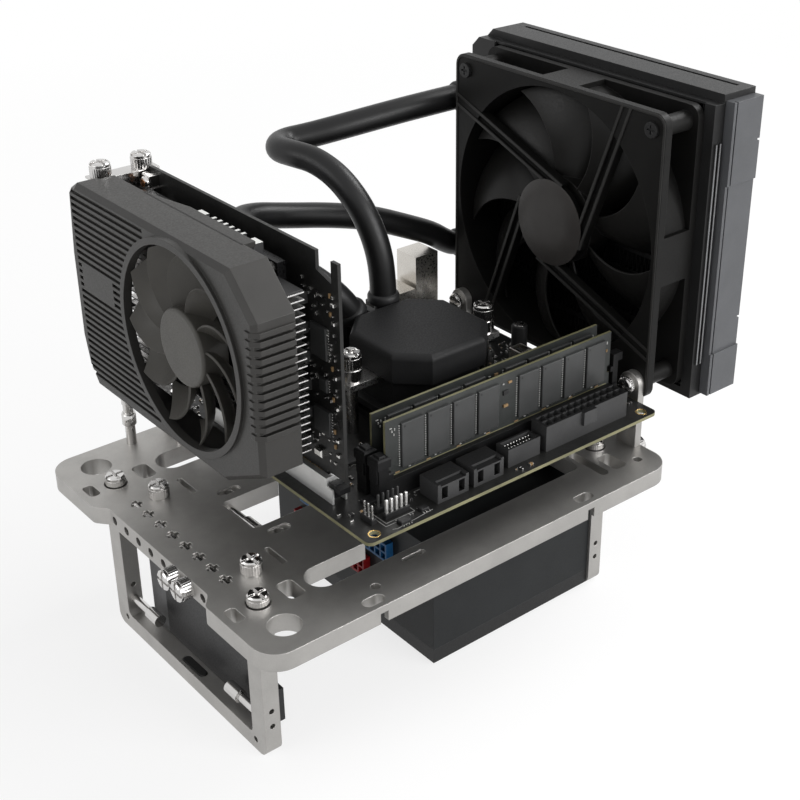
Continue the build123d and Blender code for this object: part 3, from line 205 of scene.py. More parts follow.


# Each row: name, colour, roughness, metallic, colour spread, grain scale, bump, edge radius, then the rest.
# Limits in millimetres of second colours: the heatsink's half by the card, painted near-black as shade
# between its fins and the card; the drive's rear end; red sockets.
LAMINATE = (0.165, 0.157, 0.085)
BRUSHED, LONG_BRUSHED = (1.0, 12.0, 1.0), (1.0, 14.0, 1.0)
HEATSINK_SHADE_LIMITS = (("X", -87.0, -86.9),)
DRIVE_REAR = (("Y", 33.2, 33.4),)
RED_SOCKETS = (("Y", -18.2, -18.0), ("Z", 40.2, 40.0))
finishes = {
    "plate": surface("blasted_aluminium", (0.4, 0.39, 0.375), 0.47, 1.0, 0.06, 2600, 0.12, 0.5),
    "chrome": surface("polished_steel", (0.59, 0.58, 0.57), 0.17, 1.0, 0.05, 700, 0.03, 0.25),
    "fins": surface("plain_aluminium", (0.62, 0.61, 0.6), 0.3, 1.0, 0.06, 900, 0.05, 0.15, BRUSHED),
    # Painted shade: the heatsink's base by the card is near-black, the shade between its fins and the card
    "sink": surface("heatsink_metal", (0.66, 0.65, 0.64), 0.3, 1.0, 0.06, 900, 0.05, 0.1,
                    second=(0.03, 0.03, 0.031), where=HEATSINK_SHADE_LIMITS),
    # Painted shade: the comb's sides, in the gaps between its fins, are dark; its faces along Z keep the
    # light metal colour
    "comb": surface("comb_metal", (0.1, 0.1, 0.102), 0.4, 1.0, 0.08, 900, 0.05, 0.1,
                    second=(0.8, 0.8, 0.78), where="Z"),
    "ports": surface("port_shells", (0.6, 0.575, 0.535), 0.3, 1.0, 0.05, 900, 0.05, 0.2, BRUSHED),
    "drive": surface("drive_case", (0.014, 0.014, 0.015), 0.42, 0.0, 0.12, 1500, 0.05, 0.3,
                     second=(0.1, 0.1, 0.103), where=DRIVE_REAR),
    "board": surface("board_lacquer", LAMINATE, 0.4, 0.0, 0.25, 500, 0.08, 0.1,
                     second=(0.011, 0.011, 0.0105), where="Z"),
    "module": surface("module_lacquer", LAMINATE, 0.42, 0.0, 0.2, 500, 0.08, 0.08,
                      second=(0.028, 0.03, 0.029), where="Y"),
    "card": surface("card_lacquer", (0.013, 0.013, 0.0125), 0.42, 0.0, 0.2, 500, 0.08, 0.08),
    "black_metal": surface("black_powder_coat", (0.011, 0.011, 0.0112), 0.45, 0.0, 0.12, 1800, 0.12, 0.3,
                           edge_highlight=0.25),
    "supply": surface("supply_paint", (0.0125, 0.0137, 0.0145), 0.42, 0.0, 0.1, 1800, 0.1, 0.35,
                      edge_highlight=0.2, gloss=0.16),
    "supply_base": surface("supply_base_paint", (0.006, 0.006, 0.0063), 0.45, 0.0, 0.1, 1800, 0.1, 0.35,
                           edge_highlight=0.2),
    "cover": surface("grey_cover", (0.072, 0.074, 0.079), 0.42, 0.0, 0.06, 1600, 0.06, 0.3, edge_highlight=0.2),
    "plastic": surface("black_plastic", (0.015, 0.015, 0.0155), 0.46, 0.0, 0.12, 1300, 0.08, 0.25, edge_highlight=0.25),
    # Painted light: the connectors' sides are lighter for the light falling on their fronts, and their faces
    # along Z near-black
    "connector": surface("connector_plastic", (0.041, 0.041, 0.0415), 0.46, 0.0, 0.1, 1300, 0.07, 0.2,
                         edge_highlight=0.2, second=(0.005, 0.005, 0.0052), where="Z", gloss=0.2),
    "slots": surface("slot_plastic", (0.0065, 0.0065, 0.0068), 0.45, 0.0, 0.12, 1300, 0.08, 0.2,
                     edge_highlight=0.25, gloss=0.2),
    "pump": surface("pump_plastic", (0.0145, 0.0145, 0.015), 0.52, 0.0, 0.1, 1300, 0.07, 0.4,
                    edge_highlight=0.2, gloss=0.2),
    "fan": surface("fan_plastic", (0.0075, 0.0073, 0.007), 0.44, 0.0, 0.12, 1300, 0.07, 0.3,
                   edge_highlight=0.3, gloss=0.12),
    "rotor": surface("rotor_plastic", (0.0105, 0.0101, 0.0096), 0.42, 0.0, 0.12, 1300, 0.06, 0.55,
                     edge_highlight=0.55, gloss=0.2),
    "blades": surface("blade_plastic", (0.057, 0.054, 0.048), 0.45, 0.0, 0.08, 1500, 0.06, 0.25, edge_highlight=0.15),
    # Light grey of the strips that paint highlights along the radiator's ribs
    "rib_highlight": surface("rib_highlight_paint", (0.17, 0.17, 0.175), 0.4, 0.0, 0.08, 1500, 0.05, 0.1),
    "rail": surface("rail_plastic", (0.024, 0.0235, 0.0225), 0.44, 0.0, 0.12, 1300, 0.06, 0.2, gloss=0.2),
    "shroud": surface("shroud_plastic", (0.028, 0.0268, 0.025), 0.42, 0.0, 0.08, 1500, 0.1, 0.4, edge_highlight=0.3),
    "armour": surface("slot_armour", (0.74, 0.74, 0.73), 0.5, 1.0, 0.05, 900, 0.06, 0.2, LONG_BRUSHED),
    "rubber": surface("hose_rubber", (0.006, 0.006, 0.0063), 0.4, 0.0, 0.15, 1500, 0.08, 0.2),
    "socket": surface("socket_plastic", (0.01, 0.085, 0.22), 0.45, 0.0, 0.1, 1200, 0.06, 0.2,
                      second=(0.3, 0.008, 0.01), where=RED_SOCKETS),
    "chip": surface("chip_resin", (0.04, 0.041, 0.041), 0.38, 0.0, 0.1, 1500, 0.06, 0.06),
    "package": surface("package_resin", (0.016, 0.016, 0.0165), 0.4, 0.0, 0.12, 1500, 0.06, 0.06),
    "ceramic": surface("ceramic_tan", (0.24, 0.155, 0.075), 0.45, 0.0, 0.2, 1500, 0.05, 0.05),
    "tin": surface("tinned_metal", (0.72, 0.71, 0.69), 0.25, 1.0, 0.08, 1200, 0.05, 0.05),
    "pad": surface("solder_pads", (0.3, 0.3, 0.29), 0.42, 0.0, 0.1, 1500, 0.05, 0.05),
    "pin": surface("plated_pins", (0.9, 0.89, 0.87), 0.4, 1.0, 0.04, 1200, 0.03, 0.08),
    "laminate": surface("laminate_edge", LAMINATE, 0.45, 0.0, 0.2, 900, 0.08, 0.05),
    "gold": surface("gold_plate", (0.78, 0.55, 0.22), 0.25, 1.0, 0.08, 1200, 0.04, 0.05),
    "copper": surface("copper_wire", (0.62, 0.28, 0.13), 0.28, 1.0, 0.1, 1200, 0.05, 0.05),
    "choke": surface("choke_ferrite", (0.05, 0.05, 0.05), 0.5, 0.0, 0.15, 1500, 0.1, 0.1),
    "hub": surface("hub_disc", (0.037, 0.034, 0.032), 0.4, 0.0, 0.1, 1500, 0.05, 0.1),
    "stopper": surface("leg_rubber", (0.01, 0.01, 0.01), 0.6, 0.0, 0.15, 1500, 0.1, 0.2),
}

node_finishes = {
    "plate": "base_plate left_leg right_leg front_radiator_bracket rear_radiator_bracket",
    "chrome": "leg_thumbscrews drive_thumbscrews edge_thumbscrews stored_pins card_posts card_thumbscrews "
              "bracket_thumbscrews board_standoffs board_screws card_bracket pump_posts processor",
    "ports": "io_ports",
    "fins": "supply_guard pump_bracket",
    "sink": "card_heatsink",
    "comb": "card_parts",
    "drive": "storage_drive",
    "board": "motherboard",
    "module": "near_memory_module far_memory_module",
    "card": "card_board",
    "black_metal": "regulator_heatsink radiator_core radiator_frame fan_screws",
    "supply": "supply_cover",
    "supply_base": "supply_tray",
    "cover": "radiator_cover",
    "connector": "power_connector drive_connectors usb_header",
    "slots": "memory_slots near_memory_latch far_memory_latch card_slot_latch processor_socket",
    "plastic": "pin_headers hose_fittings supply_fan_frame supply_fan_rotor supply_inlet supply_switch_frame "
               "supply_switch",
    "pump": "pump_body pump_cap",
    "fan": "fan_frame card_fan_base",
    "rotor": "radiator_fan_rotor",
    "blades": "card_fan_rotor",
    "shroud": "card_shroud",
    "armour": "card_slot",
    "socket": "supply_sockets",
}
for finish, names in node_finishes.items():
    for name in names.split():
        data = nodes[name].data
        data.materials.clear()
        data.materials.append(finishes[finish])


# Detail pieces
AXES = {
    "up": ((1, 0, 0), (0, 1, 0)), "front": ((1, 0, 0), (0, 0, 1)), "back": ((-1, 0, 0), (0, 0, 1)),
    "left": ((0, -1, 0), (0, 0, 1)), "right": ((0, 1, 0), (0, 0, 1)),
}
SQUARE = ((-1, -1), (1, -1), (1, 1), (-1, 1))
UP = Vector((0, 0, 1))
SHARP_ANGLE = math.radians(38)
KNURL_RIDGES, KNURL_RISE, KNURL_DIP, KNURL_INSET = 30, 0.24, 0.04, 0.4


def axes_of(facing):
    """Two directions across and one out, for a named side or for any direction."""
    if isinstance(facing, str):
        across, along = (Vector(axis) for axis in AXES[facing])
        return across, along, across.cross(along)
    out = Vector(facing).normalized()
    across = out.orthogonal().normalized()
    return across, out.cross(across), out


def level(base, facing, corners, height):
    """A flat ring of corners round a base, raised along a direction."""
    across, along, out = axes_of(facing)
    return [base + across * a + along * b + out * height for a, b in corners]


def spokes(base, facing, reaches, height):
    """A ring of points at even turns round a direction, each at its own reach."""
    across, along, out = axes_of(facing)
    turns = [2 * math.pi * n / len(reaches) for n in range(len(reaches))]
    return [base + (across * math.cos(t) + along * math.sin(t)) * reach + out * height
            for t, reach in zip(turns, reaches)]


class Detail:
    """Gathers small closed solids, in millimetres, into one mesh with several finishes."""

    def __init__(self):
        self.points, self.faces, self.kinds, self.used = [], [], [], []

    def stack(self, rings, finish, looped=False):
        """Rings of points joined in order, with their ends closed or joined to each other."""
        start, count, before = len(self.points), len(rings[0]), len(self.faces)
        for ring in rings:
            self.points.extend(ring)
        steps = [(n, n + 1) for n in range(len(rings) - 1)]
        if looped:
            steps.append((len(rings) - 1, 0))
        for low, high in steps:
            a, b = start + low * count, start + high * count
            for n in range(count):
                m = (n + 1) % count
                self.faces.append((a + n, a + m, b + m, b + n))
        if not looped:
            self.faces.append(tuple(range(start + count - 1, start - 1, -1)))
            last = start + (len(rings) - 1) * count
            self.faces.append(tuple(range(last, last + count)))
        if finish not in self.used:
            self.used.append(finish)
        self.kinds.extend([self.used.index(finish)] * (len(self.faces) - before))

    def stepped(self, base, facing, corners, steps, finish, looped=False):
        """A flat outline taken through (width, depth, height) steps, scaled across and raised."""
        self.stack([level(base, facing, [(a * wide, b * deep) for a, b in corners], height)
                    for wide, deep, height in steps], finish, looped)

    def block(self, base, facing, size, finish, cap):
        """A block centred on its base, with its outer edges bevelled by cap."""
        wide, deep, tall = size[0] / 2, size[1] / 2, size[2]
        steps = ((wide, deep, 0.0), (wide, deep, tall - cap), (wide - cap, deep - cap, tall))
        self.stepped(base, facing, SQUARE, steps, finish)

    def turned(self, base, facing, profile, finish, sides=28, looped=False):
        """A turned form from (radius, height) pairs."""
        self.stack([spokes(base, facing, [radius] * sides, height) for radius, height in profile],
                   finish, looped)

    def knurl(self, base, facing, radius, low, high):
        """A bright band of ridges round a screw's head."""
        inner = [radius - KNURL_INSET] * (2 * KNURL_RIDGES)
        outer = [radius + KNURL_DIP, radius + KNURL_RISE] * KNURL_RIDGES
        self.stack([spokes(base, facing, reaches, height)
                    for reaches, height in ((inner, low), (outer, low), (outer, high), (inner, high))],
                   "chrome", True)

    def prism(self, ring, rise, finish):
        """A flat ring of points drawn out along a direction."""
        turn = sum(((a - ring[0]).cross(b - ring[0]) for a, b in zip(ring, ring[1:])), Vector())
        if turn.dot(rise) < 0:
            ring = ring[::-1]
        self.stack([ring, [point + rise for point in ring]], finish)

    def leaf(self, start, end, across, out, finish):
        """A thin flat strip between two points."""
        ring = [start - across, start + across, start + across + out, start - across + out]
        self.prism(ring, end - start, finish)

    def make(self, name):
        """The mesh as a piece of the bench."""
        mesh = bpy.data.meshes.new(name)
        mesh.from_pydata([point * MM for point in self.points], [], self.faces)
        for finish in self.used:
            mesh.materials.append(finishes[finish])
        mesh.polygons.foreach_set("material_index", self.kinds)
        mesh.shade_smooth()
        mesh.set_sharp_from_angle(angle=SHARP_ANGLE)
        mesh.update()
        piece = placed(name, mesh)
        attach(piece, "bench")


# Knurled grips of the thumbscrews: radius, and lowest and highest edge on the head
FAN_Y, FAN_Z, FAN_FACE, HALF_PITCH = -4.8, 173.0, 114.7, 62.25
PLATE_LEFT, PLATE_TOP, PLATE_MIDDLE = -110, 78.0, 73.75
STORES, STORE_PITCH, STORE_X, FILLED_STORES = 8, 10.7, -98.5, (1, 2)
LEG_X, LEG_SCREW_Y, LEG_SCREW_SINK = 97, 59.5, 2.0
DRIVE_SCREW_X, DRIVE_SCREW_YS = -87, (-39.5, 37.1)
CARD_SCREW_XS, CARD_SCREW_Y, CARD_SCREW_Z = (-73.0, -52.68), 87.7, 214.5
BRACKET_THICK = 4.0
PUMP_RIGHT, PUMP_FRONT, PUMP_SCREW_REACH, PUMP_SCREW_UP = 89.0, 93.0, 39.5, 33.0
HEAD_GRIP, FAN_SCREW_GRIP, PUMP_SCREW_GRIP = (4.6, 0.5, 4.9), (4.2, 0.4, 2.8), (4.8, 0.8, 5.6)
store_rows = [(n - (STORES - 1) / 2) * STORE_PITCH for n in range(STORES)]
screws = [(bench(x, y, PLATE_TOP - LEG_SCREW_SINK), "up")
          for x in (-LEG_X, LEG_X) for y in (-LEG_SCREW_Y, LEG_SCREW_Y)]
screws += [(bench(DRIVE_SCREW_X, y, PLATE_TOP), "up") for y in DRIVE_SCREW_YS]
screws += [(bench(PLATE_LEFT, store_rows[n], PLATE_MIDDLE), "left") for n in FILLED_STORES]
screws += [(bench(x, CARD_SCREW_Y, CARD_SCREW_Z), "up") for x in CARD_SCREW_XS]
screws += [(bench(FAN_FACE, FAN_Y + side * HALF_PITCH, PLATE_MIDDLE), "right") for side in (-1, 1)]
grips = Detail()
for place, facing in screws:
    grips.knurl(place, facing, *HEAD_GRIP)
for side in (-1, 1):
    fan_screw = bench(FAN_FACE - BRACKET_THICK, FAN_Y + side * HALF_PITCH, FAN_Z - HALF_PITCH)
    grips.knurl(fan_screw, "left", *FAN_SCREW_GRIP)
    pump_screw = spot(PUMP_RIGHT + side * PUMP_SCREW_REACH, PUMP_FRONT, PUMP_SCREW_UP)
    grips.knurl(pump_screw, "up", *PUMP_SCREW_GRIP)
grips.make("thumbscrew_grips")

# Square nuts in the plate's store slots, rubber stoppers in the legs' bottom bars
NUT_SIZE, NUT_DEPTH, NUT_BEVEL = (2.1, 6.1, 2.1), 2.95, 0.3
nuts = Detail()
for y in store_rows:
    nuts.block(bench(STORE_X, y, PLATE_TOP - NUT_DEPTH), "up", NUT_SIZE, "chrome", NUT_BEVEL)
nuts.make("store_nuts")
SLOT_HALF, SLOT_RADIUS, STOPPER_LOW = 6.8, 2.05, 0.2
STOPPER_STEPS = ((0.96, 0.96, 0.0), (1.0, 1.0, 0.4), (1.0, 1.0, 7.8), (0.94, 0.94, 8.3))
slot_turns = [math.radians(angle) for angle in range(0, 181, 15)]
slot_end = [(SLOT_RADIUS * math.cos(t), SLOT_RADIUS * math.sin(t)) for t in slot_turns]
stadium = [(a, b + SLOT_HALF) for a, b in slot_end] + [(-a, -b - SLOT_HALF) for a, b in slot_end]
stoppers = Detail()
for x in (-LEG_X, LEG_X):
    stoppers.stepped(bench(x, 0, STOPPER_LOW), "up", stadium, STOPPER_STEPS, "stopper")
stoppers.make("leg_stoppers")

# Folded fins between the radiator's tubes, on both faces
RADIATOR_LOW, RADIATOR_RIM, TUBES, TUBE_PITCH, TUBE_HALF = 98.0, 4, 12, 142.0 / 12, 1.25
FIN_FACES, FIN_START = (FAN_FACE + 26.7, FAN_FACE + 47.7), FAN_Y - 68.8
FIN_FOLDS, FIN_STEP, FIN_HALF, FIN_DEPTH = 98, 1.4, 0.12, 2.6
fins = Detail()
for face in FIN_FACES:
    for number in range(TUBES):
        middle = RADIATOR_LOW + RADIATOR_RIM + TUBE_PITCH * (number + 0.5)
        low, high = middle - TUBE_PITCH / 2 + TUBE_HALF, middle + TUBE_PITCH / 2 - TUBE_HALF
        for n in range(FIN_FOLDS):
            y = FIN_START + FIN_STEP * n
            first, last = (low, high) if n % 2 == 0 else (high, low)
            fins.leaf(bench(face, y, first), bench(face, y + FIN_STEP, last), Vector((0, FIN_HALF, 0)),
                      Vector((FIN_DEPTH, 0, 0)), "black_metal")
fins.make("radiator_fins")

# Painted highlights: light strips along the ribs at the radiator's front end
RADIATOR_FACE, RADIATOR_FRONT = 139.7, -80.3
RIB_HIGHLIGHT_XS, RIB_HIGHLIGHT_Y = (RADIATOR_FACE + 2.0, RADIATOR_FACE + 4.6), RADIATOR_FRONT - 0.85
RIB_HIGHLIGHT_LOW, RIB_HIGHLIGHT_HIGH, RIB_HIGHLIGHT_HALF, RIB_HIGHLIGHT_DEPTH = 116.0, 226.0, 0.38, 0.3
rib_highlights = Detail()
for x in RIB_HIGHLIGHT_XS:
    rib_highlights.leaf(bench(x, RIB_HIGHLIGHT_Y, RIB_HIGHLIGHT_LOW), bench(x, RIB_HIGHLIGHT_Y, RIB_HIGHLIGHT_HIGH), Vector((RIB_HIGHLIGHT_HALF, 0, 0)),
              Vector((0, -RIB_HIGHLIGHT_DEPTH, 0)), "rib_highlight")
rib_highlights.make("radiator_rib_highlights")

# A plain disc on the fan's hub
HUB_RADIUS, HUB_SIDES = 21.7, 64
HUB_PROFILE = ((HUB_RADIUS, 0.0), (HUB_RADIUS, 0.45), (21.4, 0.6), (10.0, 0.65), (4.0, 0.65))
hub = Detail()
hub.turned(bench(FAN_FACE + SINK, FAN_Y, FAN_Z), "left", HUB_PROFILE, "hub", HUB_SIDES)
hub.make("fan_hub_disc")

# The fan's raised rim, and the rails along its struts and over its corners
RIM_HALF, RIM_CORNER, CORNER_STEPS = 69.8, 64.0, 6
RIM_STEPS = ((68.5, -0.1), (RIM_HALF, -0.1), (RIM_HALF, 0.35), (69.6, 0.5), (68.7, 0.5), (68.5, 0.35))
STRUT_TURN, STRUT_OFFSET = 20.0, 20.0
RAIL_OFFSET, RAIL_HALF, RAIL_OVERLAP, RAIL_REACH, RAIL_SINK, RAIL_RISE = 2.4, 0.72, 0.3, 68.6, 0.1, 0.55


def rounded(half):
    """A rounded square's points, anticlockwise, with its corners centred RIM_CORNER out."""
    radius = half - RIM_CORNER
    points = []
    for a, b, start in ((1, 1, 0), (-1, 1, 90), (-1, -1, 180), (1, -1, 270)):
        for n in range(CORNER_STEPS + 1):
            turn = math.radians(start + 90 * n / CORNER_STEPS)
            x, y = radius * math.cos(turn), radius * math.sin(turn)
            points.append((a * RIM_CORNER + x, b * RIM_CORNER + y))
    return points


fan_trim = Detail()
fan_middle = bench(FAN_FACE, FAN_Y, FAN_Z)
fan_trim.stack([level(fan_middle, "left", rounded(half), height) for half, height in RIM_STEPS], "rail", True)
for quarter in range(4):
    turn = math.radians(STRUT_TURN + 90 * quarter)
    c, s = math.cos(turn), math.sin(turn)
    for aside in (STRUT_OFFSET - RAIL_OFFSET, STRUT_OFFSET + RAIL_OFFSET):
        first = math.sqrt(max(0.0, HUB_RADIUS ** 2 - aside ** 2)) - RAIL_OVERLAP
        last = min((math.copysign(RAIL_REACH, step) - place) / step
                   for place, step in ((-s * aside, c), (c * aside, s)))
        ring = [bench(FAN_FACE + RAIL_SINK, FAN_Y - (c * far - s * side), FAN_Z - (s * far + c * side))
                for far, side in ((first, aside - RAIL_HALF), (last, aside - RAIL_HALF),
                                  (last, aside + RAIL_HALF), (first, aside + RAIL_HALF))]
        fan_trim.prism(ring, Vector((-RAIL_RISE, 0, 0)), "rail")
fan_trim.make("fan_trim")

# Heads on the fixed ends of the memory slots: place by its module, size and bevel of each block
NEAR_MODULE, FAR_MODULE = 146.0, 136.8
SLOT_HEAD = (
    ((24.1, 0.0, 16.2), (7.0, 7.4, 4.6), 0.7), ((22.0, 0.0, 9.5), (2.6, 5.0, 7.0), 0.5),
    ((27.4, 2.1, 8.9), (3.6, 2.2, 3.8), 0.5), ((24.1, 0.0, 20.7), (3.4, 4.4, 0.9), 0.4),
)
heads = Detail()
for module in (NEAR_MODULE, FAR_MODULE):
    for (right, front, up), size, bevel in SLOT_HEAD:
        heads.block(spot(right, module + front, up), "up", size, "slots", bevel)
heads.make("slot_heads")

# Chip lids, resistor rows and small parts of both memory modules
MODULE_LEFT, MODULE_HALF, SKIN_HALF = 27.0, 0.6, 0.62
CHIP_STARTS, CHIPS, CHIP_PITCH = (8.0, 74.5), 4, 14.2
CHIP_WIDE, CHIP_TALL, CHIP_LOW = 11.8, 21.0, 12.0
LID_SIZE, LID_BEVEL = (CHIP_WIDE + 0.12, CHIP_TALL + 0.12, 1.4), 0.25
DOT_RIGHT, DOT_FRONT, DOT_UP = 1.4, 1.95, CHIP_LOW + CHIP_TALL - 1.5
DOT_PROFILE, DOT_SIDES = ((0.55, 0.0), (0.55, 0.07), (0.3, 0.09)), 14
# Rows beside a chip: count, place from its left edge, lowest place, pitch, size and finish
CHIP_ROWS = (
    (18, -0.8, CHIP_LOW + 0.9, 1.12, (0.62, 0.52, 0.4), "pad"),
    (6, CHIP_WIDE + 0.7, CHIP_LOW + 2.0, 3.4, (0.4, 2.2, 0.35), "chip"),
)
ROW_BEVEL, PART_BEVEL = 0.08, 0.1
CHIP_FEET, FOOT_UP, FOOT_SIZE = ((-1.3, "pad"), (1.3, "choke")), CHIP_LOW - 1.3, (1.1, 0.5, 0.4)
# Single parts: place on the board, height, size and finish
MODULE_PARTS = (
    (94.0, 27.0, (3.0, 2.0, 0.8), "package"), (94.0, 20.5, (2.6, 1.2, 0.9), "ceramic"),
    (96.5, 31.5, (2.0, 1.0, 0.7), "ceramic"), (92.6, 31.5, (1.0, 0.6, 0.5), "pad"),
    (29.8, 32.2, (1.3, 0.5, 0.4), "pad"), (30.4, 30.6, (0.6, 1.0, 0.4), "pad"),
    (31.8, 31.2, (0.5, 1.1, 0.4), "pad"), (31.4, 28.8, (0.5, 1.0, 0.4), "pad"),
    (157.6, 31.0, (0.8, 1.4, 0.5), "pad"), (157.6, 27.0, (0.8, 1.4, 0.5), "ceramic"),
)
LOW_PARTS, LOW_START, LOW_PITCH, LOW_UP, LOW_SIZE, LOW_BEVEL = 8, 6.0, 17.0, 10.1, (2.4, 0.5, 0.3), 0.06
STRIP_RIGHT, STRIP_SINK, STRIP_UP, STRIP_SIZE, STRIP_BEVEL = 66.7, 0.02, 9.35, (130.0, 0.4, 0.1), 0.03
CONTACTS, CONTACT_START, CONTACT_PITCH, CONTACT_UP = 121, 3.0, 1.05, 7.6
CONTACT_SIZE, CONTACT_BEVEL, NOTCH_START, NOTCH_END = (0.6, 2.6, 0.09), 0.02, 71.5, 77.0
for name, front in (("near_memory_parts", NEAR_MODULE), ("far_memory_parts", FAR_MODULE)):
    parts = Detail()
    skin = front + SKIN_HALF
    for start in CHIP_STARTS:
        for number in range(CHIPS):
            left = MODULE_LEFT + start + CHIP_PITCH * number
            middle = left + CHIP_WIDE / 2
            lid = spot(middle, front + MODULE_HALF, CHIP_LOW + CHIP_TALL / 2)
            parts.block(lid, "front", LID_SIZE, "chip", LID_BEVEL)
            dot = spot(left + DOT_RIGHT, front + DOT_FRONT, DOT_UP)
            parts.turned(dot, "front", DOT_PROFILE, "package", DOT_SIDES)
            for count, aside, low, pitch, size, finish in CHIP_ROWS:
                for n in range(count):
                    parts.block(spot(left + aside, skin, low + pitch * n), "front", size, finish, ROW_BEVEL)
            for aside, finish in CHIP_FEET:
                parts.block(spot(middle + aside, skin, FOOT_UP), "front", FOOT_SIZE, finish, PART_BEVEL)
    for right, up, size, finish in MODULE_PARTS:
        parts.block(spot(right, skin, up), "front", size, finish, PART_BEVEL)
    for n in range(LOW_PARTS):
        right = MODULE_LEFT + LOW_START + LOW_PITCH * n
        for side, facing in ((SKIN_HALF, "front"), (-SKIN_HALF, "back")):
            parts.block(spot(right, front + side, LOW_UP), facing, LOW_SIZE, "ceramic", LOW_BEVEL)
    strip = spot(MODULE_LEFT + STRIP_RIGHT, skin - STRIP_SINK, STRIP_UP)
    parts.block(strip, "front", STRIP_SIZE, "laminate", STRIP_BEVEL)
    for n in range(CONTACTS):
        right = MODULE_LEFT + CONTACT_START + CONTACT_PITCH * n
        if not NOTCH_START < right - MODULE_LEFT < NOTCH_END:
            for side, facing in ((MODULE_HALF, "front"), (-MODULE_HALF, "back")):
                place = spot(right, front + side, CONTACT_UP)
                parts.block(place, facing, CONTACT_SIZE, "gold", CONTACT_BEVEL)
    parts.make(name)

# The card shroud's top panel, dark sheet and end ribs, and the collars of the card's posts
SHROUD_TOP, SHROUD_END, SHROUD_FACE, PANEL_THICK = 113.0, 142.0, -30.0, 2.4
PANEL = ((-12.0, 29.0), (-10.6, 34.5), (-5.6, 60.0), (-5.6, 108.6), (-12.0, 108.6))
FIN_TOP = 98.95
SHEET_PLACE, SHEET_SIZE, SHEET_BEVEL = (-6.6, 120.8, FIN_TOP - 0.02), (10.6, 25.6, 0.8), 0.2
RIBS, RIB_TOP, RIB_PITCH, RIB_HIGH = 13, 92.2, 3.7, 2.2
RIB = (
    (SHROUD_FACE - 0.6, 136.4), (SHROUD_FACE - 0.6, 139.2), (SHROUD_FACE + 2.5, SHROUD_END + 0.7),
    (-11.4, SHROUD_END + 0.7), (-11.4, SHROUD_END - 0.4), (SHROUD_FACE + 2.9, SHROUD_END - 0.4),
    (SHROUD_FACE + 0.4, 138.9), (SHROUD_FACE + 0.4, 136.0),
)
trim = Detail()
trim.prism([spot(*corner, SHROUD_TOP - PANEL_THICK) for corner in PANEL], UP * PANEL_THICK, "shroud")
trim.block(spot(*SHEET_PLACE), "up", SHEET_SIZE, "package", SHEET_BEVEL)
for n in range(RIBS):
    low = RIB_TOP - RIB_HIGH - RIB_PITCH * n
    trim.prism([spot(*corner, low) for corner in RIB], UP * RIB_HIGH, "shroud")
trim.make("shroud_trim")
POST_RIGHTS, POST_FRONT, POST_UP, POST_SIDES = (-13.0, 7.32), -4.0, -15.3, 32
POST_COLLAR = ((2.2, 0.0), (3.2, 0.0), (3.5, 0.4), (3.5, 5.6), (3.2, 6.0), (3.0, 6.1), (3.0, 6.6), (2.2, 6.6))
posts = Detail()
for right in POST_RIGHTS:
    posts.turned(spot(right, POST_FRONT, POST_UP), "up", POST_COLLAR, "chrome", POST_SIDES, True)
posts.make("post_collars")

# Bright pins of the headers and of the open connectors
HEADER_PITCH, USB_PITCH, POWER_PITCH, PIN_BEVEL, BASE_BEVEL = 2.54, 1.78, 4.2, 0.22, 0.3
pins = Detail()


def pin_grid(first, columns, rows, span, finish="tin", width=0.72, missing=None):
    """Pins from a first place: a count and pitch to the right and to the front, from low to high."""
    low, high = span
    for n in range(columns[0]):
        for row in range(rows[0]):
            if (n, row) != missing:
                pins.block(spot(first[0] + columns[1] * n, first[1] + rows[1] * row, low), "up",
                           (width, width, high - low), finish, PIN_BEVEL)


pin_grid((17.27, 153.75), (5, HEADER_PITCH), (1, 0.0), (2.4, 8.75), "choke", 0.8)
pin_grid((17.27, 159.25), (5, HEADER_PITCH), (1, 0.0), (2.4, 8.75), "pin", 1.1)
pins.block(spot(27.43, 159.25, -SINK), "up", (2.5, 2.5, 2.55), "plastic", BASE_BEVEL)
pin_grid((84.4, 157.2), (9, USB_PITCH), (2, 2.6), (1.9, 8.2), missing=(8, 1))
pin_grid((107.3, 156.1), (12, POWER_PITCH), (2, POWER_PITCH), (4.9, 10.5), width=1.2)
pins.block(spot(10.4, 156.0, -SINK), "up", (2.6, 7.8, 2.5), "package", BASE_BEVEL)
pin_grid((10.4, 153.46), (1, 0.0), (3, HEADER_PITCH), (2.3, 8.6))
pins.make("connector_pins")

# Small parts on the board. A taken place is its left, right, rear and front limit.
TAKEN = [
    (28, 168, -3, 20), (56, 114, 25, 43), (55, 123, 60, 124), (40, 58, 84, 102), (120, 138, 84, 102),
    (20, 170, 132, 150.5), (102, 158, 151, 167), (38, 79, 151, 167), (80, 103, 152, 165),
    (14, 31, 150.5, 163), (3, 17, 40, 143), (0, 13, 3, 17), (0, 13, 158, 170), (157, 170, 158, 170),
    (157, 170, 26, 40), (0, 12, -2, 14), (7, 14, 150, 162),
]
CHIP_STAND, CHIP_BEVEL, MARK_INSET, MARK_SIDES = 0.1, 0.18, 0.9, 12
MARK = ((0.35, 0.0), (0.35, 0.06), (0.2, 0.07))
LEAD_SIZE, LEAD_OUT, LEAD_BEVEL = (0.34, 1.1, 0.4), 0.45, 0.1
CHOKE_TALL, CHOKE_BEVEL, CHOKE_INSET, TAB_SIZE = 6.2, 0.7, 2.2, (3.0, 0.5, 3.0)
board = Detail()


def is_free(right, front, wide, deep):
    return all(right + wide / 2 < a or right - wide / 2 > b or front + deep / 2 < c or front - deep / 2 > d
               for a, b, c, d in TAKEN)


def take(right, front, half_wide, half_deep):
    TAKEN.append((right - half_wide, right + half_wide, front - half_deep, front + half_deep))


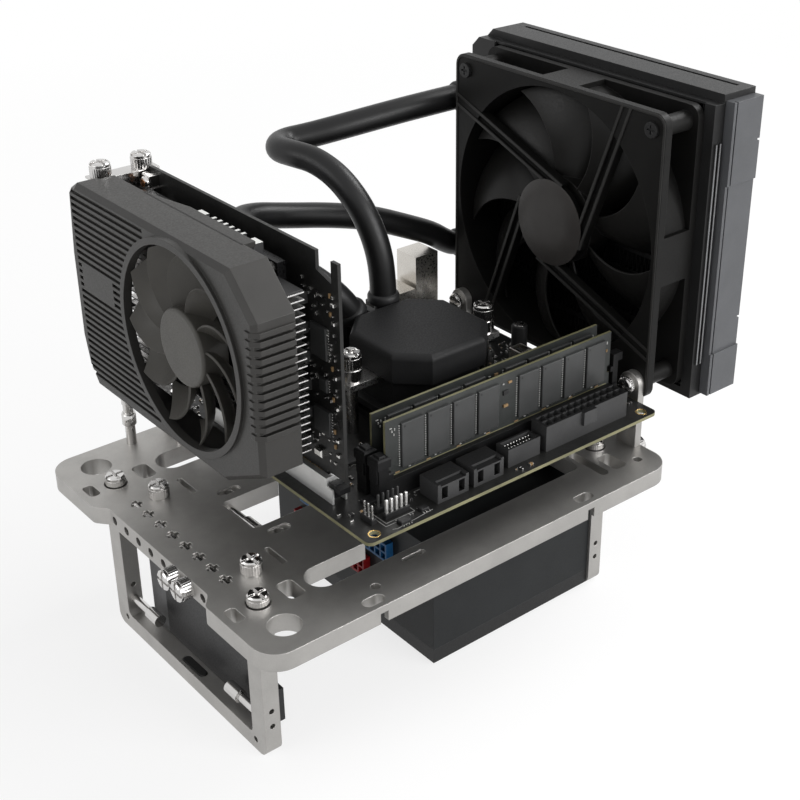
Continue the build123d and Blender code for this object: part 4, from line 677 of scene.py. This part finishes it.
def package(right, front, wide, deep, tall, leads):
    """A chip with a row of leads on two sides."""
    board.block(spot(right, front, CHIP_STAND), "up", (wide, deep, tall), "package", CHIP_BEVEL)
    mark = spot(right - wide / 2 + MARK_INSET, front + deep / 2 - MARK_INSET, tall + 0.07)
    board.turned(mark, "up", MARK, "choke", MARK_SIDES)
    for side in (-1, 1):
        for n in range(leads):
            along = (n - (leads - 1) / 2) * (wide - 0.8) / (leads - 1)
            lead = spot(right + along, front + side * (deep / 2 + LEAD_OUT), -SINK)
            board.block(lead, "up", LEAD_SIZE, "tin", LEAD_BEVEL)
    take(right, front, wide / 2 + 0.4, deep / 2 + 1.2)


def choke(right, front, size=7.0):
    """A square coil with a raised top and a copper tab on two sides."""
    top = size - CHOKE_INSET
    board.block(spot(right, front, -SINK), "up", (size, size, CHOKE_TALL), "choke", CHOKE_BEVEL)
    board.block(spot(right, front, CHOKE_TALL - 0.1), "up", (top, top, 0.3), "package", 0.15)
    for side in (-1, 1):
        tab = spot(right, front + side * (size / 2 + 0.1), -SINK)
        board.block(tab, "up", TAB_SIZE, "copper", 0.15)
    take(right, front, size / 2 + 0.5, size / 2 + 0.8)


def can(right, front, radius, tall):
    """A small can capacitor on its square foot."""
    neck = radius - 0.22
    profile = (
        (radius, 0.0), (radius, 0.5), (neck, 0.75), (neck, 1.05), (radius, 1.3), (radius, tall - 1.4),
        (radius - 0.35, tall - 1.0), (radius * 0.55, tall - 1.05), (radius * 0.2, tall - 1.15),
    )
    foot = 2 * radius + 0.7
    board.block(spot(right, front, -SINK), "up", (foot, foot, 1.0), "package", 0.3)
    board.turned(spot(right, front, 0.9), "up", profile, "tin", 24)
    take(right, front, radius + 0.6, radius + 0.6)


for chip in (
    (19.0, 145.0, 6.0, 5.0, 1.5, 4), (21.0, 166.0, 5.0, 3.6, 1.4, 4), (33.0, 164.0, 4.0, 3.0, 1.2, 3),
    (147.0, 112.0, 14.0, 14.0, 1.8, 16), (30.0, 112.0, 9.0, 9.0, 1.3, 12), (29.0, 75.0, 7.0, 6.0, 1.2, 8),
    (146.0, 66.0, 8.0, 8.0, 1.2, 10), (24.0, 30.0, 10.0, 7.0, 1.4, 10),
):
    package(*chip)
for n in range(4):
    choke(24.0 + 8.6 * n, 52.0)
    can(22.5 + 7.0 * n, 62.5, 2.5, 8.5)
choke(148.0, 52.0)
for n in range(2):
    can(160.0, 54.0 + 8.0 * n, 2.8, 9.0)
can(162.0, 100.0, 2.6, 8.0)

# A sleeved can and the upright metal socket in front of it
SLEEVED, SLEEVE_SIDES, UPRIGHT = (152.5, 93.0), 36, (146.9, 100.0)
SLEEVE = ((4.0, 0.0), (4.0, 1.2), (3.75, 1.5), (3.75, 1.9), (4.0, 2.2), (4.0, 21.6), (3.7, 22.3), (3.1, 22.5))
SLEEVE_TOP = ((2.9, 0.0), (2.9, 0.2), (2.6, 0.3))
SHELL_STEPS = (
    (3.3, 3.5, 1.0), (3.3, 3.5, -SINK), (3.9, 4.1, -SINK), (3.9, 4.1, 13.8), (3.7, 3.9, 14.0),
    (3.3, 3.5, 14.0),
)
board.turned(spot(*SLEEVED, -SINK), "up", SLEEVE, "package", SLEEVE_SIDES)
board.turned(spot(*SLEEVED, 22.4), "up", SLEEVE_TOP, "tin", SLEEVE_SIDES)
board.stepped(spot(*UPRIGHT, 0.0), "up", SQUARE, SHELL_STEPS, "ports", True)
board.block(spot(*UPRIGHT, 0.0), "up", (6.4, 6.8, 11.0), "package", 0.3)
board.block(spot(*UPRIGHT, 10.9), "up", (1.6, 5.0, 2.2), "plastic", 0.2)
TAKEN += [(148, 157, 88.5, 97.5), (142.5, 151.3, 95.4, 104.6)]
can(36.0, 127.0, 2.4, 7.0)
choke(137.0, 126.5, 6.0)

# Scattered chip parts with tinned ends. All tries draw, so that the later draws stay the same.
SMALL_TRIES, SMALL_MOST, SMALL_SPAN, SMALL_GAP, END_WIDE = 2600, 420, (3, 167), 0.6, 0.3
SMALL_SIZES = ((1.0, 0.5), (1.6, 0.8), (1.6, 0.8), (2.0, 1.25))
SMALL_FINISHES = ("ceramic", "ceramic", "package", "tin", "choke")
made = 0
for _ in range(SMALL_TRIES):
    right, front = rng.uniform(*SMALL_SPAN), rng.uniform(*SMALL_SPAN)
    long, short = rng.choice(SMALL_SIZES)
    turned = rng.random() < 0.5
    wide, deep = (short, long) if turned else (long, short)
    finish = rng.choice(SMALL_FINISHES)
    if made >= SMALL_MOST or not is_free(right, front, wide + SMALL_GAP, deep + SMALL_GAP):
        continue
    made += 1
    board.block(spot(right, front, -SINK), "up", (wide, deep, 0.35 + 0.45 * short), finish, 0.08)
    for side in (-1, 1):
        shift = (0.0, side * (deep / 2 - 0.06)) if turned else (side * (wide / 2 - 0.06), 0.0)
        end = (wide + 0.12, END_WIDE) if turned else (END_WIDE, deep + 0.12)
        place = spot(right + shift[0], front + shift[1], -SINK)
        board.block(place, "up", (*end, 0.4 + 0.45 * short), "tin", 0.06)
    take(right, front, wide / 2, deep / 2)

# Gold tails behind the drive connectors, gold rings round the screw holes, drawn lines round the headers
TAIL_ROWS, TAILS, TAIL_FRONT, TAIL_LOW, TAIL_SIZE = (49.0, 69.0), 14, 151.2, -0.03, (0.42, 1.5, 0.12)
SCREW_HOLES = ((6.35, 165.1), (163.83, 165.1), (6.35, 10.16), (163.83, 33.02))
HOLE_RING, HOLE_SIDES = ((2.1, -0.02), (2.75, -0.02), (2.7, 0.05), (2.15, 0.05)), 36
DRAWN_LINES = (
    ((13.1, 150.6), (13.1, 164.2), (19.2, 164.2)),
    ((14.6, 151.4), (14.6, 162.4), (29.6, 162.4), (29.6, 151.4)),
    ((38.4, 152.0), (38.4, 150.9), (79.0, 150.9)),
    ((36.0, 166.4), (16.0, 168.3), (14.0, 167.4)),
)
LINE_LOW, LINE_HALF, LINE_RISE = -0.02, 0.13, 0.06
for left in TAIL_ROWS:
    for n in range(TAILS):
        board.block(spot(left + n, TAIL_FRONT, TAIL_LOW), "up", TAIL_SIZE, "gold", 0.03)
for right, front in SCREW_HOLES:
    board.turned(spot(right, front, 0.0), "up", HOLE_RING, "gold", HOLE_SIDES, True)
for line in DRAWN_LINES:
    for first, last in zip(line, line[1:]):
        start, end = spot(*first, LINE_LOW), spot(*last, LINE_LOW)
        aside = (end - start).cross(UP).normalized() * LINE_HALF
        board.leaf(start, end, aside, UP * LINE_RISE, "pad")
board.make("board_parts")

# Small parts on the card's two faces
CARD_LEFT, CARD_RIGHT = 9.0, 10.6
card = Detail()


def on_card(front, up, size, finish, side, cap):
    """A part whose size is (along the card, upward, out)."""
    right = CARD_LEFT + SINK if side == "left" else CARD_RIGHT - SINK
    card.block(spot(right, front, up), side, size, finish, cap)


def leaded(front, up, wide, tall, leads, side):
    """A chip with a column of leads on two sides."""
    on_card(front, up, (wide, tall, 1.4), "chip", side, 0.2)
    for edge in (-1, 1):
        for n in range(leads):
            z = up + (n - (leads - 1) / 2) * (tall - 1.2) / (leads - 1)
            on_card(front + edge * (wide / 2 + 0.4), z, (1.0, 0.4, 0.45), "tin", side, 0.08)


leaded(129.0, 72.8, 10.6, 14.4, 12, "left")
leaded(129.3, 36.5, 11.0, 11.6, 9, "left")
leaded(131.0, 54.0, 5.0, 6.0, 5, "left")
on_card(126.5, 20.5, (5.2, 3.6, 2.4), "tin", "left", 0.6)
for up in (24.0, 31.0, 46.0, 60.0, 84.0, 92.0):
    on_card(139.4, up, (2.0, 1.5, 1.3), "tin", "left", 0.3)
    on_card(137.0, up + 3.2, (1.0, 2.0, 0.8), "ceramic", "left", 0.1)
for n in range(6):
    on_card(119.5, 24.0 + 13.0 * n, (3.6, 4.6, 3.6), "choke", "left", 0.4)
for n in range(5):
    base = spot(CARD_LEFT, 64.0 + 9.0 * n, 21.5)
    card.block(base, "left", (6.4, 6.4, 4.6), "choke", 0.6)
    card.block(base + Vector((-4.5, 0, 0)), "left", (4.0, 4.0, 0.4), "copper", 0.2)

# A round bright part at the top rear corner, and the heatsink's four screws
ROUND_FRONT, ROUND_UP = 4.9, 106.2
ROUND_BODY = ((2.9, 0.0), (2.9, 1.0), (2.3, 1.7), (1.9, 1.75))
ROUND_TIP = ((1.9, 0.0), (1.9, 0.3), (1.2, 0.6), (0.6, 0.65))
SCREW_HEAD = ((3.2, -0.05), (3.2, 1.4), (2.7, 1.9), (1.2, 2.0), (0.9, 1.2))
on_card(4.6, 105.8, (7.0, 7.6, 5.0), "chrome", "left", 0.5)
card.turned(spot(CARD_LEFT - 4.8, ROUND_FRONT, ROUND_UP), "left", ROUND_BODY, "chrome")
card.turned(spot(CARD_LEFT - 6.4, ROUND_FRONT, ROUND_UP), "left", ROUND_TIP, "copper")
for front in (56.0, 100.0):
    for up in (44.0, 88.0):
        card.turned(spot(CARD_RIGHT, front, up), "right", SCREW_HEAD, "chrome")
leaded(34.0, 40.0, 6.0, 7.0, 6, "right")
leaded(124.0, 88.0, 7.0, 9.0, 8, "right")
for n in range(4):
    on_card(30.0 + 26.0 * n, 103.0, (5.0, 3.4, 1.2), "package", "right", 0.12)

# Scattered parts: on the card's bare side clear of each other, and close together beside its heatsink
BARE_TRIES, BARE_FRONT, CLEAR_FRONT, CLEAR_UP = 900, (4, 134), 2.2, 1.8
BARE_SIZES = ((1.0, 0.5), (0.8, 1.6), (1.6, 0.8), (2.0, 1.2))
BARE_FINISHES = ("ceramic", "package", "tin", "package")
CLOSE_COUNT, CLOSE_FRONT = 120, (118, 141)
CLOSE_SIZES = ((1.0, 0.5), (0.6, 1.2), (1.6, 0.8))
CLOSE_FINISHES = ("tin", "tin", "package", "tin")
CARD_UP = (17, 98)
card_taken = [(52, 104, 40, 92), (29, 39, 34, 46), (118, 130, 82, 95), (26, 112, 100, 106)]
for _ in range(BARE_TRIES):
    front, up = rng.uniform(*BARE_FRONT), rng.uniform(*CARD_UP)
    wide, tall = rng.choice(BARE_SIZES)
    finish = rng.choice(BARE_FINISHES)
    if any(a < front < b and c < up < d for a, b, c, d in card_taken):
        continue
    card_taken.append((front - CLEAR_FRONT, front + CLEAR_FRONT, up - CLEAR_UP, up + CLEAR_UP))
    on_card(front, up, (wide, tall, 0.7), finish, "right", 0.08)
for _ in range(CLOSE_COUNT):
    front, up = rng.uniform(*CLOSE_FRONT), rng.uniform(*CARD_UP)
    wide, tall = rng.choice(CLOSE_SIZES)
    on_card(front, up, (wide, tall, 0.6), rng.choice(CLOSE_FINISHES), "left", 0.06)

# Gold contacts along the card's lower edge, with a notch
EDGE_CONTACTS, EDGE_NOTCH, EDGE_START, EDGE_PITCH = 48, (7, 8), 50.5, 1.6
for n in range(EDGE_CONTACTS):
    if n not in EDGE_NOTCH:
        for side in ("left", "right"):
            on_card(EDGE_START + EDGE_PITCH * n, 8.4, (0.9, 5.6, 0.1), "gold", side, 0.03)
card.make("card_small_parts")

# Sockets seen from behind: shells on the card's bracket and tongues in the board's ports
CARD_PORT_RIGHT, CARD_PORT_FRONT, CARD_PORT_UPS = 4.4, -1.0, (34.0, 56.0, 78.0)
PORT_STEPS = ((2.1, 7.6, -0.5), (3.0, 8.5, -0.5), (3.0, 8.5, 1.5), (2.6, 8.1, 1.6), (2.3, 7.8, 1.5))
# A board port is its left and right limit and its top
BOARD_PORTS = (
    (151.0, 166.0, 32.5), (132.0, 149.0, 16.0), (112.0, 130.0, 7.0), (92.0, 110.0, 8.0), (74.0, 90.0, 14.0),
    (34.0, 58.0, 13.0),
)
PORT_WALL, PORT_LEVEL, TONGUE_FRONT, TONGUE_CONTACTS = 1.2, 11.0, 4.05, 4
ports = Detail()
for up in CARD_PORT_UPS:
    base = spot(CARD_PORT_RIGHT, CARD_PORT_FRONT, up)
    ports.stepped(base, "back", SQUARE, PORT_STEPS, "ports", True)
    ports.block(base - Vector((0, SINK, 0)), "back", (4.5, 15.5, 0.25), "package", 0.05)
    ports.block(base, "back", (1.4, 12.0, 1.2), "plastic", 0.2)
for left, right, top in BOARD_PORTS:
    middle, wide = (left + right) / 2, right - left - 2 * PORT_WALL
    inside = top - 2 * PORT_WALL
    levels = max(1, round(top / PORT_LEVEL))
    for n in range(levels):
        up = PORT_WALL + inside * (n + 0.5) / levels
        ports.block(spot(middle, TONGUE_FRONT, up), "back", (wide - 3.0, 1.9, 4.6), "plastic", 0.3)
        for k in range(TONGUE_CONTACTS):
            aside = (wide - 7.0) * (k / (TONGUE_CONTACTS - 1) - 0.5)
            ports.block(spot(middle - aside, 3.0, up - 1.15), "back", (1.0, 0.5, 3.0), "gold", 0.08)
    for n in range(levels - 1):
        up = PORT_WALL + inside * (n + 1) / levels
        ports.block(spot(middle, TONGUE_FRONT, up), "back", (wide + 0.4, 0.9, 5.8), "ports", 0.1)
ports.make("port_shells")

# Collars where the hoses end: place and direction of each
HOSE_RADIUS, COLLAR_BORE, COLLAR_SIDES = 6.4, 5.6, 40
COLLAR_PROFILE = (
    (COLLAR_BORE, 0.0), (HOSE_RADIUS + 1.0, 0.0), (HOSE_RADIUS + 1.35, 0.5), (HOSE_RADIUS + 1.35, 3.4),
    (HOSE_RADIUS + 0.9, 4.4), (HOSE_RADIUS + 0.05, 5.0), (COLLAR_BORE, 5.0),
)
COLLAR_PLACES = (
    ((95.8, 57.5, 39.4), (0, 0, 1)), ((77.5, 57.5, 37.67), (-0.54, 0, 0.84)),
    ((187.9, 8.0, 112.0), (-1, 0, 0)), ((187.9, 8.0, 30.5), (-1, 0, 0)),
)
collars = Detail()
for place, facing in COLLAR_PLACES:
    collars.turned(spot(*place), facing, COLLAR_PROFILE, "plastic", COLLAR_SIDES, True)
collars.make("hose_collars")

# Hoses
ELBOW, HOSE_RESOLUTION = 57.5, 10
UPPER_ROUTE = [
    (95.8, ELBOW, 39.5), (95.8, ELBOW, 55.0), (94.4, 53.8, 71.5), (91.8, 46.3, 86.0), (88.4, 35.0, 97.4),
    (84.6, 21.5, 103.2), (80.2, 10.5, 104.3), (79.8, -4.0, 103.2), (89.4, -13.2, 102.6), (102.0, -9.0, 103.8),
    (119.3, -2.5, 106.8), (147.0, 4.5, 110.4), (171.0, 8.0, 112.0), (188.0, 8.0, 112.0),
]
LOWER_ROUTE = [
    (77.46, ELBOW, 37.74), (72.33, ELBOW, 45.72), (64.5, 53.8, 55.2), (56.9, 45.8, 62.4), (49.8, 35.0, 70.8),
    (44.0, 23.0, 75.9), (46.4, 8.5, 77.4), (59.5, 1.5, 75.6), (78.5, 1.5, 70.7), (104.7, 3.0, 65.0),
    (128.8, 6.0, 58.3), (150.0, 8.0, 48.8), (166.0, 8.0, 41.2), (175.5, 8.0, 34.3), (182.5, 8.0, 30.5),
    (188.0, 8.0, 30.5),
]


def hose(name, route):
    """A smooth hose along a route, in place of its CAD node."""
    curve = bpy.data.curves.new(name, "CURVE")
    curve.dimensions = "3D"
    curve.bevel_depth = HOSE_RADIUS * MM
    curve.bevel_resolution = curve.resolution_u = HOSE_RESOLUTION
    curve.use_fill_caps = True
    spline = curve.splines.new("NURBS")
    spline.points.add(len(route) - 1)
    for point, place in zip(spline.points, route):
        point.co = (*(spot(*place) * MM), 1.0)
    spline.order_u = 3
    spline.use_endpoint_u = True
    piece = placed(name, curve)
    curve.materials.append(finishes["rubber"])
    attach(piece, "bench")
    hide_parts(name)


hose("upper_hose", UPPER_ROUTE)
hose("lower_hose", LOWER_ROUTE)

# Stage: floor, world, lamps and camera, in metres
FLOOR_HALF = 6.0
floor_mesh = bpy.data.meshes.new("floor")
floor_mesh.from_pydata([(a * FLOOR_HALF, b * FLOOR_HALF, 0.0) for a, b in SQUARE], [], [(0, 1, 2, 3)])
floor = placed("floor", floor_mesh)


def seen_rays(tree):
    """1 for camera, mirror and glass rays, 0 for the light that falls on the object."""
    rays = add(tree, "ShaderNodeLightPath")
    total = rays.outputs["Is Camera Ray"]
    for kind in ("Is Glossy Ray", "Is Transmission Ray"):
        total = combined(tree, "MAXIMUM", total, rays.outputs[kind])
    return total


def show_both(tree, share, first, second, output):
    """Sends two shaders to a tree's output: the first where share is 0, the second where it is 1."""
    mix = add(tree, "ShaderNodeMixShader")
    tree.links.new(share, mix.inputs["Fac"])
    tree.links.new(first, mix.inputs[1])
    tree.links.new(second, mix.inputs[2])
    tree.links.new(mix.outputs["Shader"], tree.nodes[output].inputs["Surface"])


# The floor is plain white far from the object and takes its shadow near it.
WHITE, FLOOR_WHITE, FLOOR_ROUGHNESS = (1.0, 1.0, 1.0, 1.0), (0.95, 0.95, 0.95, 1.0), 0.8
FLOOR_SHARE, SHADOW_REACH, FLOOR_REACH, WORLD_LEVEL = 0.78, 0.3, 1.1, 0.42
floor_material, tree, shader = new_material("floor_white")
fill(shader, Base_Color=FLOOR_WHITE, Roughness=FLOOR_ROUGHNESS, Specular_IOR_Level=0.0)
glow = add(tree, "ShaderNodeEmission", Color=WHITE, Strength=1.0)
where = add(tree, "ShaderNodeTexCoord")
away = add(tree, "ShaderNodeVectorMath", operation="LENGTH")
share = add(tree, "ShaderNodeMapRange", From_Min=SHADOW_REACH, From_Max=FLOOR_REACH, To_Min=FLOOR_SHARE,
            To_Max=1.0)
tree.links.new(where.outputs["Object"], away.inputs[0])
tree.links.new(away.outputs["Value"], share.inputs["Value"])
show_both(tree, combined(tree, "MULTIPLY", share.outputs["Result"], seen_rays(tree)),
          shader.outputs["BSDF"], glow.outputs["Emission"], "Material Output")
floor_mesh.materials.append(floor_material)

world = bpy.data.worlds.new("studio")
bpy.context.scene.world = world
world.use_nodes = True
tree = world.node_tree
plain = fill(tree.nodes["Background"], Color=WHITE, Strength=WORLD_LEVEL)
white = add(tree, "ShaderNodeBackground", Color=WHITE, Strength=1.0)
show_both(tree, seen_rays(tree), plain.outputs["Background"], white.outputs["Background"], "World Output")


def lamp(name, place, target, size, power):
    """A soft rectangular lamp turned to a target."""
    data = bpy.data.lights.new(name, "AREA")
    data.shape = "RECTANGLE"
    data.size, data.size_y = size
    data.energy = power
    piece = placed(name, data)
    piece.location = place
    piece.rotation_euler = (Vector(target) - Vector(place)).to_track_quat("-Z", "Y").to_euler()


lamp("key", (1.3, -0.2, 1.2), (0.0, 0.0, 0.05), (0.9, 0.9), 20.0)
lamp("front", (0.5, -1.5, 0.7), (0.0, 0.0, 0.12), (1.2, 0.9), 22.0)
lamp("left", (-1.5, 0.2, 0.8), (0.0, 0.0, 0.12), (1.0, 0.8), 6.0)

# The camera's place is in millimetres, its focal length and centre in pixels of the photograph
FOCAL_PX, CENTRE_PX, IMAGE_PX, SENSOR = 1412.59, (442.33, 364.23), 800.0, 36.0
CAMERA_PLACE, CAMERA_LOOK = Vector((-365.13, -464.32, 427.0)), Vector((0.5717, 0.6807, -0.4581))
view = bpy.data.cameras.new("camera")
camera = placed("camera", view)
bpy.context.scene.camera = camera
view.sensor_width = SENSOR
view.lens = FOCAL_PX * SENSOR / IMAGE_PX
view.shift_x = (IMAGE_PX / 2 - CENTRE_PX[0]) / IMAGE_PX
view.shift_y = (CENTRE_PX[1] - IMAGE_PX / 2) / IMAGE_PX
view.clip_start, view.clip_end = 0.01, 50.0
camera.location = CAMERA_PLACE * MM
camera.rotation_euler = CAMERA_LOOK.to_track_quat("-Z", "Y").to_euler()

bpy.context.scene.view_settings.view_transform = "Standard"
